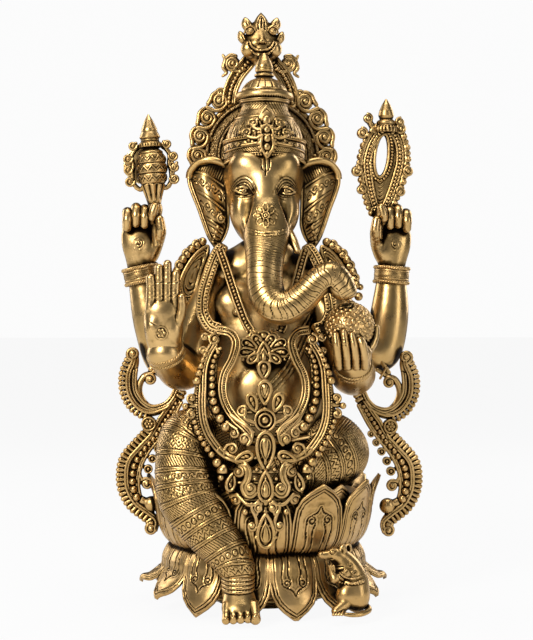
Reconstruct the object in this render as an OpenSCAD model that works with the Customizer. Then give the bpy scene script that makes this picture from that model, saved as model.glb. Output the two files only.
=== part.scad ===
// Seated four-armed Ganesha on a two-tier lotus pedestal, cast in brass pieces and assembled.
// Frame: +X towards the figure's left hand, -Y to the front, +Z up.
// The origin is the centre of the underside, on the surface that the idol stands on.

/* [Castings] */
// Wall of the hollow castings
wall = 5; // [4:0.5:6]
// Facets round a modelled ball
ball_fn = 10; // [8:2:14]

/* [Lotus pedestal] */
// Number of petals in the lower tier
base_petals = 14; // [13:1:15]
// Number of petals in the upper tier
seat_petals = 12; // [11:1:13]
// Radius to the tips of the lower petals
base_r = 124; // [121:1:127]
// Height of the lower lotus
base_h = 62; // [60:1:64]
// Radius to the tips of the upper petals
seat_r = 126; // [122:1:128]
// Height of the deck that the figure sits on
deck_z = 118; // [116:1:120]

/* [Head and crown] */
// Radius of the crown's brim
brim_r = 31.5; // [29:0.5:34]
// Height of the crown's brim
brim_z = 538; // [536:1:540]

/* [Halo] */
// Radius of the raised ring round the halo plate
halo_r = 62; // [60:1:64]
// Height of the halo's centre
halo_z = 480; // [478:1:482]
// Scrolls up each side of the halo
halo_scrolls = 5; // [4:1:5]

/* [Fasteners] */
// Shank diameter of the assembly bolts
bolt_d = 8; // [6:1:8]
// Diameter of the shoulder dowels
dowel_d = 8; // [6:1:8]

/* [Hidden] */

brass = [0.72, 0.56, 0.28];
dark_brass = [0.55, 0.42, 0.2];
steel = [0.6, 0.6, 0.62];
plate_t = 3;                        // thickness of the closing plate
plate_r = 78;                       // radius of the closing plate
pan_r = 50;                         // radius of the foot pressed in the closing plate
drum_z = 14;                        // underside of the base casting's drum
gap = 0.15;                         // clearance left between castings that meet
base_pitch = 360 / base_petals;     // pitch of the lower petals
seat_pitch = 360 / seat_petals;     // pitch of the upper petals
base_turn = 13;                     // angle of the first lower petal from the front
seat_turn = 26;                     // angle of the first upper petal from the front
seat_floor_z = base_h + 0.1;        // underside of the seat
halo_y = 24;                        // front face of the halo plate
halo_t = 5;                         // thickness of the halo plate
scroll_pitch = 17.4;                // angle between neighbouring halo scrolls
scroll_top = 52;                    // angle of the highest halo scroll above the horizontal
bracket_y = 2;                      // middle plane of the side scroll brackets
bolt_ring = 62;                     // radius of the ring of bolts between base and seat
figure_bolt_x = 26;                 // distance of the figure's bolts from the centre line

// ---- Paths: each station is [centre, [radius x, radius y, radius z]] ----
torso_path = [
    [[0, 0, 138], [78, 60, 20]], [[-1, -10, 168], [76, 62, 36]], [[-2, -24, 224], [66, 60, 54]],
    [[-1, -12, 268], [56, 46, 40]], [[0, -4, 312], [58, 36, 36]], [[0, 0, 346], [44, 24, 22]],
    [[0, -6, 374], [25, 22, 16]]
];
shoulder_bar = [[[-56, 4, 338], [20, 20, 20]], [[0, 0, 344], [30, 24, 22]], [[56, 4, 338], [20, 20, 20]]];
right_leg_path = [
    [[-26, -30, 152], [32, 30, 30]], [[-64, -60, 178], [37, 34, 33]], [[-84, -74, 166], [29, 30, 32]],
    [[-80, -88, 122], [32, 29, 30]], [[-58, -100, 86], [29, 25, 25]], [[-35, -110, 60], [24, 20, 16]],
    [[-32, -113, 48], [17, 15, 5]]
];
left_leg_path = [
    [[28, -22, 158], [34, 34, 34]], [[60, -38, 168], [38, 36, 36]], [[68, -44, 158], [36, 36, 30]],
    [[36, -72, 146], [28, 24, 24]], [[-4, -88, 140], [16, 14, 16]]
];
right_foot_path = [
    [[-32, -112, 46], [15, 15, 12]], [[-31, -114, 36], [14, 15, 12]], [[-31, -124, 26], [17, 13, 11]],
    [[-31, -132, 17], [19, 11, 9]]
];
left_foot_path = [[[-18, -91, 138], [13, 11, 13]], [[-30, -94, 137], [13, 9, 13]],
    [[-40, -94, 138], [9, 6, 10]]];
right_front_arm_path = [
    [[-56, -6, 334], [22, 21, 22]], [[-74, -22, 288], [20, 20, 22]], [[-86, -34, 250], [21, 21, 20]],
    [[-98, -62, 258], [18, 18, 17]], [[-106, -80, 268], [16, 15, 14]]
];
left_front_arm_path = [
    [[56, -6, 334], [22, 21, 22]], [[76, -22, 288], [20, 20, 22]], [[91, -36, 246], [21, 21, 20]],
    [[90, -60, 248], [18, 17, 17]], [[88, -76, 255], [15, 13, 13]]
];
right_rear_arm_path = [
    [[-56, 12, 336], [19, 17, 20]], [[-82, 16, 294], [19, 17, 20]], [[-104, 18, 258], [19, 18, 19]],
    [[-120, 18, 298], [18, 17, 20]], [[-132, 18, 352], [13.5, 12.5, 8]]
];
left_rear_arm_path = [
    [[56, 12, 336], [19, 17, 20]], [[94, 16, 296], [19, 17, 20]], [[127, 18, 264], [18, 17, 18]],
    [[138, 18, 302], [19, 17, 22]], [[141, 18, 352], [14, 12.5, 8]]
];
head_path = [
    [[0, 6, 450], [44, 38, 34]], [[0, -18, 452], [39, 40, 36]], [[0, -24, 422], [37.5, 38, 34]],
    [[0, -34, 398], [30, 34, 24]]
];
trunk_path = [
    [[0, -50, 408], [24, 22, 20]], [[-1, -66, 386], [22, 18, 17]], [[-4, -82, 356], [17.5, 16, 16]],
    [[-3, -90, 330], [16.5, 15, 15]], [[5, -97, 315], [15, 14, 15]], [[18, -101, 313], [14, 13, 14]],
    [[34, -103, 324], [14, 12, 13]], [[50, -104, 341], [13, 11, 12]], [[64, -105, 345], [12, 10, 11]],
    [[73, -104, 334], [11, 10, 10]], [[78, -102, 322], [9.5, 9, 7]]
];
ear_path = [
    [[-38, -2, 466], [5, 5, 5]], [[-72, -8, 453], [7, 5, 6]], [[-54, -12, 436], [20, 5, 16]],
    [[-50, -14, 416], [17, 5, 14]], [[-49, -14, 402], [12, 5, 12]], [[-55, -16, 384], [4, 4, 5]]
];
crest_strip = [[-11, 592], [-15, 581], [-25, 569], [-32, 556], [-34, 543]];
garland_outer = [
    [-58, 298], [-62, 284], [-66, 266], [-68, 246], [-68, 224], [-66, 204], [-59, 184], [-49, 169],
    [-36, 158]
];
garland_inner = [
    [-32, 292], [-27, 280], [-32, 262], [-40, 246], [-42, 230], [-38, 215], [-28, 203], [-15, 193],
    [-12, 184]
];
sash_path = [[-50, 378], [-59, 350], [-65, 325], [-66, 306], [-60, 292]];
necklace_path = [[-46, 374], [-36, 344], [-27, 318], [-22, 298], [-12, 288]];
bracket_band = [
    [[99, 213], 15], [[112, 192], 18], [[125, 176], 20], [[137, 162], 22], [[147, 147], 26],
    [[150, 132], 24],
    [[149, 118], 22], [[143, 104], 18], [[132, 93], 13], [[123, 84], 11], [[126, 75], 11]
];
bracket_scroll = [
    [[146, 268], 10], [[145, 256], 13], [[150, 240], 16], [[149, 222], 16], [[140, 208], 16],
    [[127, 202], 14],
    [[113, 206], 12], [[104, 214], 13], [[99, 224], 14]
];
bracket_curl = [[[130, 207], 8], [[137, 220], 7], [[138, 234], 7], [[133, 241], 7], [[127, 238], 8]];

// ---- General shapes ----
function shrink(path, by) = [for (s = path) [s[0], [for (r = s[1]) max(r - by, 1.5)]]];
function mirror_path(path) = [for (s = path) [[-s[0][0], s[0][1], s[0][2]], s[1]]];
function spiral(centre, r, turns, start, hand = 1, n = 28) =
    [for (i = [0 : n]) let (t = i / n, a = start + hand * 360 * turns * t, q = r * (1 - 0.72 * t))
        centre + q * [cos(a), sin(a)]];
function unit2(v) = v / max(norm(v), 0.0001);
function side_of(path, i) =
    let (a = path[max(i - 1, 0)], b = path[min(i + 1, len(path) - 1)], d = unit2(b - a)) [-d[1], d[0]];

module blob(station, fn = ball_fn) translate(station[0]) scale(station[1]) sphere(1, $fn = fn);

module chain(path, fn = ball_fn)
    for (i = [0 : len(path) - 2])
        hull() {
            blob(path[i], fn);
            blob(path[i + 1], fn);
        }

module rod(a, b, d, fn = 32) {
    v = b - a;
    translate(a)
        rotate([0, acos(v[2] / norm(v)), atan2(v[1], v[0])])
            cylinder(h = norm(v), d = d, $fn = fn);
}

// A flat strip of constant thickness that follows a path of [x, z] points in an upright plane.
module strip(path, width, y, thickness)
    translate([0, y + thickness / 2, 0])
        rotate([90, 0, 0])
            linear_extrude(height = thickness)
                polygon(concat(
                    [for (i = [0 : len(path) - 1]) path[i] + side_of(path, i) * width / 2],
                    [for (i = [len(path) - 1 : -1 : 0]) path[i] - side_of(path, i) * width / 2]
                ));

// An upright strip whose points each have their own depth: pairs of small balls are hulled.
module draped(path, depth, width, thickness)
    for (i = [0 : len(path) - 2])
        hull()
            for (k = [i, i + 1])
                for (s = [-1, 1])
                    let (p = path[k] + side_of(path, k) * s * (width / 2 - thickness / 2))
                        translate([p[0], depth[k], p[1]]) sphere(d = thickness, $fn = 6);

module disc_xz(centre, r, y, thickness)
    translate([centre[0], y + thickness / 2, centre[1]])
        rotate([90, 0, 0])
            cylinder(h = thickness, r = r, $fn = 20);

module ring(centre, direction, inner, outer, height) {
    a = acos(direction[2] / norm(direction));
    translate(centre)
        rotate([0, a, atan2(direction[1], direction[0])])
            rotate_extrude($fn = 48)
                translate([inner, -height / 2])
                    difference() {
                        square([outer - inner, height]);
                        translate([outer - inner + 0.8, height / 2]) circle(r = 1.6, $fn = 24);
                    }
}

// ---- Pedestal ----
module base_screw_at(k) rotate([0, 0, 45 + 90 * k]) translate([70, 0, 0]) children();

// The closing plate has a round foot pressed in it, and the idol stands on that foot.
module base_plate() color(dark_brass) difference() {
    rotate_extrude($fn = 96)
        polygon([
            [0, 0], [pan_r, 0], [pan_r + 3, drum_z - plate_t], [plate_r, drum_z - plate_t],
            [plate_r, drum_z],
            [pan_r, drum_z], [pan_r - 3, plate_t], [0, plate_t]
        ]);
    for (k = [0 : 3]) base_screw_at(k) cylinder(h = drum_z + 2, d = 4.4, $fn = 32);
}

module base_screws() color(steel)
    for (k = [0 : 3]) base_screw_at(k) {
        translate([0, 0, drum_z - plate_t - 2.5]) cylinder(h = 2.4, d = 7.5, $fn = 32);
        translate([0, 0, drum_z - plate_t - 0.4]) cylinder(h = 14, d = 4, $fn = 32);
    }

// One lower petal: it leaves the drum near its top and droops outwards to a pointed tip.
module lower_petal(reach, tip_z) hull() {
    translate([0, -86, base_h - 8.6]) scale([17, 5.2, 6.3]) sphere(1, $fn = 7);
    translate([0, -100, 42]) scale([24.5, 6.1, 12.2]) sphere(1, $fn = 7);
    translate([0, -0.5 * (100 + reach) + 4, 0.5 * (34 + tip_z)]) scale([20, 5, 9]) sphere(1, $fn = 6);
    translate([0, 3 - reach, tip_z + 3.5]) scale([4, 3, 3.5]) sphere(1, $fn = 6);
}

module lower_petals()
    for (k = [0 : base_petals - 1])
        let (a = base_turn + k * base_pitch, side = abs(sin(a)))
            rotate([0, 0, a]) lower_petal(base_r - 6 + 14 * pow(side, 3), 22 * pow(side, 5));

module lotus_base() color(brass) difference() {
    union() {
        translate([0, 0, drum_z + 0.1]) cylinder(h = base_h - drum_z - 0.1, r1 = 84, r2 = 92, $fn = 48);
        lower_petals();
    }
    translate([0, 0, drum_z - 1]) cylinder(h = base_h - drum_z - wall + 1, r1 = 74,
        r2 = 92 - 2 * wall, $fn = 48);
    for (k = [0 : 3]) base_screw_at(k) cylinder(h = drum_z + 16, d = 4.1, $fn = 16);
    for (k = [0 : 2]) rotate([0, 0, 90 + 120 * k]) translate([bolt_ring, 0, 0])
        cylinder(h = 80, d = bolt_d + 0.4, $fn = 16);
    raw_mouse(gap);
    chain(right_foot_path);
    chain(right_leg_path);
}

// One upper petal: it stands up from the seat's waist and curls outwards at its tip.
module upper_petal() hull() {
    translate([0, -93, 74]) scale([20, 6, 8]) sphere(1, $fn = 6);
    translate([0, -106, 98]) scale([27, 7, 14]) sphere(1, $fn = 6);
    translate([0, -(seat_r - 3), 132]) scale([3, 3, 4]) sphere(1, $fn = 6);
}

module raw_seat() {
    translate([0, 0, seat_floor_z]) cylinder(h = deck_z - seat_floor_z, r1 = 92, r2 = 106, $fn = 40);
    for (k = [0 : seat_petals - 1]) rotate([0, 0, seat_turn + k * seat_pitch]) upper_petal();
}

module lotus_seat() color(brass) difference() {
    raw_seat();
    translate([0, 0, deck_z]) cylinder(h = 40, r1 = 103, r2 = 118, $fn = 40);
    translate([0, 0, seat_floor_z + wall])
        cylinder(h = deck_z - seat_floor_z - 2 * wall, r1 = 92 - wall, r2 = 104 - wall, $fn = 40);
    translate([0, 0, seat_floor_z - 1]) cylinder(h = wall + 2, r = 38, $fn = 32);
    for (k = [0 : 2]) rotate([0, 0, 90 + 120 * k]) translate([bolt_ring, 0, 50])
        cylinder(h = 30, d = bolt_d + 0.4, $fn = 16);
    for (s = [-1, 1]) translate([s * figure_bolt_x, 0, 100]) cylinder(h = 40, d = bolt_d + 0.4, $fn = 16);
    chain(right_leg_path);
    chain(left_leg_path);
    raw_mouse(gap);
}

module seat_bolts() color(steel)
    for (k = [0 : 2]) rotate([0, 0, 90 + 120 * k]) translate([bolt_ring, 0, 0]) {
        translate([0, 0, base_h - 10]) cylinder(h = 4.9, d = 13, $fn = 6);
        translate([0, 0, base_h - 6]) cylinder(h = 22, d = bolt_d, $fn = 32);
    }

module seat_nuts() color(steel)
    for (k = [0 : 2]) rotate([0, 0, 90 + 120 * k]) translate([bolt_ring, 0, seat_floor_z + wall + 0.1])
        difference() {
            cylinder(h = 6.5, d = 14, $fn = 6);
            translate([0, 0, -1]) cylinder(h = 9, d = bolt_d + 0.1, $fn = 32);
        }

module figure_bolts() color(steel)
    for (s = [-1, 1]) translate([s * figure_bolt_x, 0, 0]) {
        translate([0, 0, deck_z - wall - 6.2]) cylinder(h = 6, d = 13, $fn = 6);
        translate([0, 0, deck_z - wall - 1]) cylinder(h = 17, d = bolt_d, $fn = 32);
    }

// ---- Body ----
module raw_torso() {
    chain(torso_path);
    chain(shoulder_bar);
}

module dowels(d, fn = 32)
    for (s = [-1, 1]) {
        rod([s * 44, -4, 336], [s * 64, -10, 322], d, fn);
        rod([s * 44, 10, 334], [s * 66, 16, 316], d, fn);
    }

module torso() color(brass) difference() {
    raw_torso();
    translate([0, 0, deck_z - 60]) cube([400, 400, 120 + 2 * gap], center = true);
    chain(shrink([for (i = [1 : 4]) torso_path[i]], wall), 8);
    translate([0, -4, 100]) cylinder(h = 60, r = 14, $fn = 16);
    for (s = [-1, 1]) translate([s * figure_bolt_x, 0, 100]) cylinder(h = 30, d = bolt_d + 0.1, $fn = 16);
    translate([0, -2, 330]) cylinder(h = 70, d = bolt_d + 0.2, $fn = 16);
    dowels(dowel_d + 0.1, 12);
}

module right_leg() color(brass) difference() {
    chain(right_leg_path);
    raw_torso();
    chain(shrink([for (i = [0 : 4]) right_leg_path[i]], wall), 8);
    chain(right_foot_path);
}

module left_leg() color(brass) difference() {
    chain(left_leg_path);
    raw_torso();
    chain(shrink([for (i = [0 : 2]) left_leg_path[i]], wall), 8);
    chain(left_foot_path);
    chain(right_leg_path);
}

module right_foot() color(brass) union() {
    chain(right_foot_path);
    for (k = [0 : 4])
        hull() {
            translate([-46 + 7.6 * k, -136, 16]) sphere(r = 5.4, $fn = 8);
            translate([-46.5 + 7.8 * k, -141, 11]) sphere(r = 4.2 + (k == 4 ? 1 : 0), $fn = 8);
        }
}

module left_foot() color(brass) difference() {
    union() {
        chain(left_foot_path);
        for (k = [0 : 4])
            hull() {
                translate([-42, -94, 128 + 4.8 * k]) sphere(r = 3.6, $fn = 8);
                translate([-49, -95, 128 + 4.8 * k]) sphere(r = 3, $fn = 8);
            }
    }
    chain(right_leg_path);
    raw_torso();
}

module arm(path) difference() {
    chain(path);
    raw_torso();
    dowels(dowel_d + 0.1, 12);
}

// The plane that parts a hand from its arm lies at the wrist, square to the forearm.
module beyond(point, direction) {
    translate(point)
        rotate([0, acos(direction[2] / norm(direction)), atan2(direction[1], direction[0])])
            translate([-40, -40, 0]) cube([80, 80, 60]);
}

module front_arm(path, wrist, direction) difference() {
    arm(path);
    beyond(wrist, direction);
}

rf_wrist = [-104, -76, 266];
rf_dir = [-6, -10, 14];
lf_wrist = [88, -72, 253.5];
lf_dir = [-2, -14, 9];
rr_wrist = [-132, 18, 352];
rr_dir = [-12, 0, 54];
lr_wrist = [141, 18, 352];
lr_dir = [3, 0, 50];

module right_front_arm() color(brass) front_arm(right_front_arm_path, rf_wrist, rf_dir);
module left_front_arm() color(brass) front_arm(left_front_arm_path, lf_wrist, lf_dir);

module rear_arm(path, front_path, wrist, direction) difference() {
    arm(path);
    chain(front_path);
    beyond(wrist, direction);
}

module right_rear_arm() color(brass) rear_arm(right_rear_arm_path, right_front_arm_path, rr_wrist,
    rr_dir);
module left_rear_arm() color(brass) rear_arm(left_rear_arm_path, left_front_arm_path, lr_wrist, lr_dir);
module shoulder_dowels() color(steel) dowels(dowel_d);

module finger(points, r)
    for (i = [0 : len(points) - 2])
        hull() {
            translate(points[i]) sphere(r = r, $fn = 6);
            translate(points[i + 1]) sphere(r = r * 0.9, $fn = 6);
        }

// The raised palm of the front right hand, fingers together and pointing up.
module right_front_hand() color(brass) difference() {
    union() {
        chain([
            [rf_wrist + [0, 0, 0], [15, 14, 13]], [[-107, -84, 288], [19, 11, 15]],
            [[-107, -88, 310], [19, 9, 14]]
        ], 12);
        for (k = [0 : 3])
            finger([
                [-119 + 8.4 * k, -89, 320], [-120 + 8.8 * k, -91, 340],
                [-120 + 9 * k, -91, [348, 358, 362, 352][k]]
            ], 4.6);
        finger([[-92, -88, 292], [-88, -93, 308], [-89, -95, 324]], 5);
    }
    translate(rf_wrist - 30 * rf_dir / norm(rf_dir)) beyond_block(rf_dir, 30);
}

// A block that ends at the wrist plane, used to trim the hand's end flat.
module beyond_block(direction, length)
    rotate([0, acos(direction[2] / norm(direction)), atan2(direction[1], direction[0])])
        translate([-40, -40, -10]) cube([80, 80, length + 10 + gap]);

// The front left hand cups the sweet from below, its fingers up the front of it.
module left_front_hand() color(brass) difference() {
    union() {
        chain([
            [lf_wrist, [14, 13, 13]], [[87, -84, 262], [18, 13, 12]], [[85, -94, 272], [18, 9, 12]]
        ], 12);
        for (k = [0 : 3])
            finger([
                [70 + 9.2 * k, -101, 272], [68.5 + 9.6 * k, -107, 286],
                [69 + 9.4 * k, -106, 301 - 3 * abs(k - 1)]
            ], 4.5);
        finger([[101, -86, 270], [109, -84, 282], [110, -82, 294]], 4.8);
    }
    translate(lf_wrist - 30 * lf_dir / norm(lf_dir)) beyond_block(lf_dir, 30);
    raw_modak(gap);
}

// A rear hand, palm to the front: two fingers and the thumb hold a stem, the others curl in.
module grip(wrist, side, stem) difference() {
    union() {
        chain([
            [wrist, [13, 12, 10]], [wrist + [side * 1, 1, 22], [18, 12, 15]],
            [wrist + [side * 2, 2, 42], [20, 11, 15]]
        ], 12);
        for (k = [0 : 3])
            let (q = wrist + [side * (18 - 9.6 * k), 0, 0])
                finger([
                    q + [0, 2, 54], q + [0, -4, 68 - k], q + [0, -15, 66 - 2 * k], q + [0, -14, 48]
                ], 4.9);
        finger([wrist + [-side * 13, -4, 26], wrist + [-side * 21, -12, 44],
            wrist + [-side * 18, -14, 60]], 5.2);
    }
    translate([wrist[0], wrist[1], wrist[2] - 20]) cube([80, 80, 40 + 2 * gap], center = true);
    rod(stem[0], stem[1], 9 + 2 * gap);
}

rr_stem = [[-114, 0, 380], [-117.4, 4, 432]];
lr_stem = [[124, 0, 386], [127, 4, 424]];
module right_rear_hand() color(brass) grip([-132, 18, 352], -1, rr_stem);
module left_rear_hand() color(brass) grip([141, 18, 352], 1, lr_stem);

module right_front_bracelet() color(brass) ring(rf_wrist, rf_dir, 17.4, 20.5, 9);
module left_front_bracelet() color(brass) ring(lf_wrist, lf_dir, 16.6, 19.5, 9);
module right_rear_bracelet() color(brass) ring(rr_wrist, rr_dir, 16.4, 19.4, 18);
module left_rear_bracelet() color(brass) ring(lr_wrist, lr_dir, 16.8, 19.8, 18);

// ---- What the hands hold ----
module raw_modak(grow = 0) translate([83, -82, 294]) sphere(r = 25.5 + grow, $fn = 20);

module modak() color(brass) difference() {
    raw_modak();
    translate([83, -82, 294]) sphere(r = 25.5 - wall, $fn = 24);
    translate([83, -82, 320]) cylinder(h = 12, r = 3, center = true, $fn = 16);
    rod([83, -82, 294], [84, -92, 255], 7);
}

// A pot-shaped goad: a turned stem, bowl and spire with scrolls up each side.
module goad() color(brass) translate([-114.4, 4, 386]) rotate([0, -4, 0]) union() {
    rotate_extrude($fn = 32)
        polygon([
            [0, -6], [4.4, -6], [4.4, 32], [7.5, 35], [7.5, 38], [6, 40], [8, 48], [13, 58],
            [17, 66], [18.5, 76],
            [17.5, 86], [14, 94], [9, 97], [14, 99], [14, 103], [11, 105], [11, 109], [8, 111],
            [9.5, 114], [8, 120],
            [0, 136]
        ]);
    goad_scrolls();
    mirror([1, 0, 0]) goad_scrolls();
}

module goad_scrolls() {
    strip([[6, 42], [15, 52], [20, 62], [25, 76], [27, 90], [24, 102], [17, 103]], 4, -1, 5);
    disc_xz([20, 107], 5.6, -1, 5);
    disc_xz([22, 55], 6, -1, 5);
    disc_xz([28, 68], 5.4, -1, 5);
}

module chakra_disc() color(brass) disc_xz([-131, 469], 20, 24.4, 3);

// The noose: a flat leaf-shaped loop under a turned finial.
module noose() color(brass) union() {
    difference() {
        union() {
            leaf(7);
            for (a = [[-50, -28, -6, 18, 44], [136, 162, 186, 208, 230]])
                for (q = a) disc_xz(leaf_point(q, 3), 6.6, 4, 5);
        }
        translate([128, 40, 477]) rotate([90, -6, 0]) linear_extrude(height = 80)
            polygon([for (a = [0 : 15 : 345]) [5.6 * cos(a), (sin(a) > 0 ? 18 : 24) * sin(a)]]);
    }
    rod([124, 1, 390], [126.6, 4, 420], 9);
    translate([133, 4, 504]) rotate_extrude($fn = 32)
        polygon([[0, 0], [13, 0], [13, 5], [10, 8], [10.5, 12], [7, 14], [8.5, 18], [7, 24], [0, 36]]);
}

function leaf_point(a, grow = 0) =
    let (q = sin(a), w = 24 * (1 - 0.3 * max(-q, 0)))
        [130 + (w + grow) * cos(a) + 4 * q, 470 + (q > 0 ? 42 : 58) * q];

module leaf(thickness)
    translate([0, 4 + thickness / 2, 0]) rotate([90, 0, 0])
        linear_extrude(height = thickness) polygon([for (a = [0 : 15 : 345]) leaf_point(a)]);

// ---- Head ----
module raw_head() chain(head_path);
module raw_cap() translate([0, 0, 468]) cylinder(h = 80, r = 80, $fn = 32);

module head() color(brass) difference() {
    raw_head();
    raw_torso();
    raw_cap();
    chain(shrink([for (i = [1 : 2]) head_path[i]], wall + 1), 8);
    translate([0, -4, 360]) cylinder(h = 70, r = 12, $fn = 24);
    chain(trunk_path);
    translate([0, 40 + halo_y - gap, 450]) cube([200, 80, 300], center = true);
}

module neck_stud() color(steel) {
    translate([0, -2, 336]) cylinder(h = 60, d = bolt_d, $fn = 32);
    translate([0, -2, 388 + gap]) ring_nut();
}

module ring_nut() translate([0, 0, 8]) difference() {
    cylinder(h = 6, d = 15, $fn = 6);
    translate([0, 0, -1]) cylinder(h = 8, d = bolt_d - 0.1, $fn = 32);
}

module trunk() color(brass) difference() {
    chain(trunk_path);
    raw_torso();
    raw_modak(gap);
}

module ear() difference() {
    chain(ear_path);
    raw_head();
    translate([0, 40 + halo_y - gap, 450]) cube([200, 80, 300], center = true);
}

module right_ear() color(brass) ear();
module left_ear() color(brass) mirror([1, 0, 0]) ear();

module tusk() color(brass) difference() {
    hull() {
        translate([18, -50, 396]) sphere(r = 5, $fn = 10);
        translate([29, -70, 378]) sphere(r = 2.6, $fn = 10);
    }
    raw_head();
    chain(trunk_path);
}

// ---- Crown ----
crown_y = -14;
module behind_crown() translate([0, 60 + halo_y - crown_y - gap, 500]) cube([200, 120, 200],
    center = true);

module crown_cap() color(brass) translate([0, crown_y, 0]) difference() {
    rotate_extrude($fn = 64)
        polygon([
            [0, 468 + gap], [40.5, 468 + gap], [40.5, 480], [39, 490], [36.5, 499], [33.5, 507],
            [29.5, 515],
            [25, 524], [23, 534], [0, 534]
        ]);
    rotate_extrude($fn = 64)
        polygon([[0, 460], [35, 460], [35, 482], [31, 498], [24, 512], [15, 524], [0, 526]]);
    behind_crown();
}

module crown_band() color(brass) translate([0, crown_y, 0]) difference() {
    rotate_extrude($fn = 64)
        polygon([
            [40.5 + gap, 467], [43, 467], [44, 472], [43, 480], [41.5, 490], [39 + gap, 490],
            [40.5 + gap, 480]
        ]);
    behind_crown();
}

module crown_jewel() color(brass) difference() {
    union() {
    chain([[[0, -41, 524], [3, 3, 4]], [[0, -45, 515], [8, 4, 8]], [[0, -50, 504], [4.5, 4, 4.5]]], 10);
    chain([[[0, -50, 504], [4.5, 4, 4.5]], [[0, -57, 490], [5.5, 4, 6]], [[0, -60, 474], [3, 3, 3]]], 10);
    for (s = [-1, 1])
        chain([
            [[0, -50, 504], [4, 3.5, 4]], [[s * 12, -48, 500], [3, 3, 3]], [[s * 17, -44, 506], [4, 4, 4]]
        ], 8);
    }
    translate([0, crown_y, 0]) rotate_extrude($fn = 64)
        polygon([
            [0, 466], [44 + gap, 467], [44 + gap, 472], [43 + gap, 480], [41.5 + gap, 490],
            [36.5 + gap, 499],
            [33.5 + gap, 507], [29.5 + gap, 515], [25 + gap, 524], [0, 534]
        ]);
}

module brim_room() translate([0, -8, 0]) {
    translate([0, 0, 530]) cylinder(h = 14.2, r = brim_r + gap, $fn = 64);
    translate([0, 0, 544]) cylinder(h = 14, r1 = 24.3, r2 = 12, $fn = 64);
}

module crown_brim() color(brass) translate([0, -8, 0]) rotate_extrude($fn = 64)
    polygon([
        [0, 534 + gap], [26, 534 + gap], [brim_r - 1, brim_z - 1], [brim_r, brim_z + 1],
        [brim_r, brim_z + 3],
        [28, brim_z + 6], [0, brim_z + 6]
    ]);

module crown_spire() color(brass) translate([0, -8, brim_z + 6 + gap]) rotate_extrude($fn = 64)
    polygon([
        [0, 0], [24, 0], [22, 6], [16, 12], [10, 14.5], [8.5, 16], [10, 17.5], [10, 19.5], [8, 21],
        [9, 23],
        [7, 32], [0, 42]
    ]);

// ---- Halo ----
module halo_plate() color(brass) difference() {
    translate([0, halo_y + halo_t, halo_z]) rotate([90, 0, 0]) cylinder(h = halo_t, r = halo_r, $fn = 96);
    translate([0, halo_y, 380]) cube([240, 40, 60], center = true);
    brim_room();
    for (s = [-1, 1]) translate([s * 14, halo_y + 20, 440]) rotate([90, 0, 0]) cylinder(h = 40,
        d = 5.2, $fn = 32);
}

module halo_screws() color(steel)
    for (s = [-1, 1]) translate([s * 14, halo_y + halo_t + 0.1, 440]) rotate([-90, 0, 0]) {
        cylinder(h = 3, d = 9, $fn = 32);
        translate([0, 0, -halo_t - 0.05]) cylinder(h = halo_t + 0.1, d = 5, $fn = 32);
    }

// One side of the halo's border: scrolls in a row, joined by a rim that rests on the plate's edge.
module halo_scrolls_side(side) difference() {
    union() {
        for (k = [0 : halo_scrolls - 1])
            let (a = scroll_top - k * scroll_pitch, r = halo_r + 11.5) {
                disc_xz([side * r * cos(a), halo_z + r * sin(a)], 8.6, halo_y + 2.5, 5);
                disc_xz([side * (r + 3) * cos(a + 6), halo_z + (r + 3) * sin(a + 6)], 7.2,
                    halo_y + 2.5, 5);
            }
        strip([
            for (a = [scroll_top + 3 : -9 : -24])
                [side * (halo_r + 3) * cos(a), halo_z + (halo_r + 3) * sin(a)]
        ], 5.6, halo_y + 2.5, 5);
    }
    translate([0, halo_y + 20, halo_z]) rotate([90, 0, 0]) cylinder(h = 40, r = halo_r + gap, $fn = 96);
    mirror([side < 0 ? 0 : 1, 0, 0]) chain(ear_path);
}

module right_halo_scrolls() color(brass) halo_scrolls_side(-1);
module left_halo_scrolls() color(brass) halo_scrolls_side(1);

// The crest: a guardian mask above two beaded strips and two curls.
module halo_crest() color(brass) difference() {
    translate([-2, 0, -3]) union() {
        chain([
            [[0, 17, 597], [17, 10, 9]], [[0, 16, 604], [18, 11, 9]], [[0, 17, 614], [13, 9, 9]],
            [[0, 19, 624], [7, 6, 7]], [[0, 20, 636], [2, 3, 3]]
        ], 8);
        for (s = [-1, 1]) {
            chain([[[s * 8, 15, 608], [8, 7, 8]], [[s * 12, 14, 620], [6.5, 6, 6]]], 8);
            chain([[[s * 14, 18, 604], [5, 4, 5]], [[s * 21, 18, 608], [3.6, 3.6, 7]]], 8);
            chain([[[s * 17, 23.5, 578], [4, 3, 5]], [[s * 25, 23.5, 584], [8, 3.4, 8]]], 8);
            chain([[[s * 6, 18, 592], [5, 5, 5]], [[s * 11, 20, 586], [4, 4, 4]]], 8);
        }
        for (s = [-1, 1]) strip([for (p = crest_strip) [s * p[0], p[1]]], 12, 22.6, 5);
    }
    translate([0, halo_y + 20, halo_z]) rotate([90, 0, 0]) cylinder(h = 40, r = halo_r + gap, $fn = 96);
    brim_room();
    for (s = [-1, 1]) halo_scrolls_side(s);
}

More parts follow.
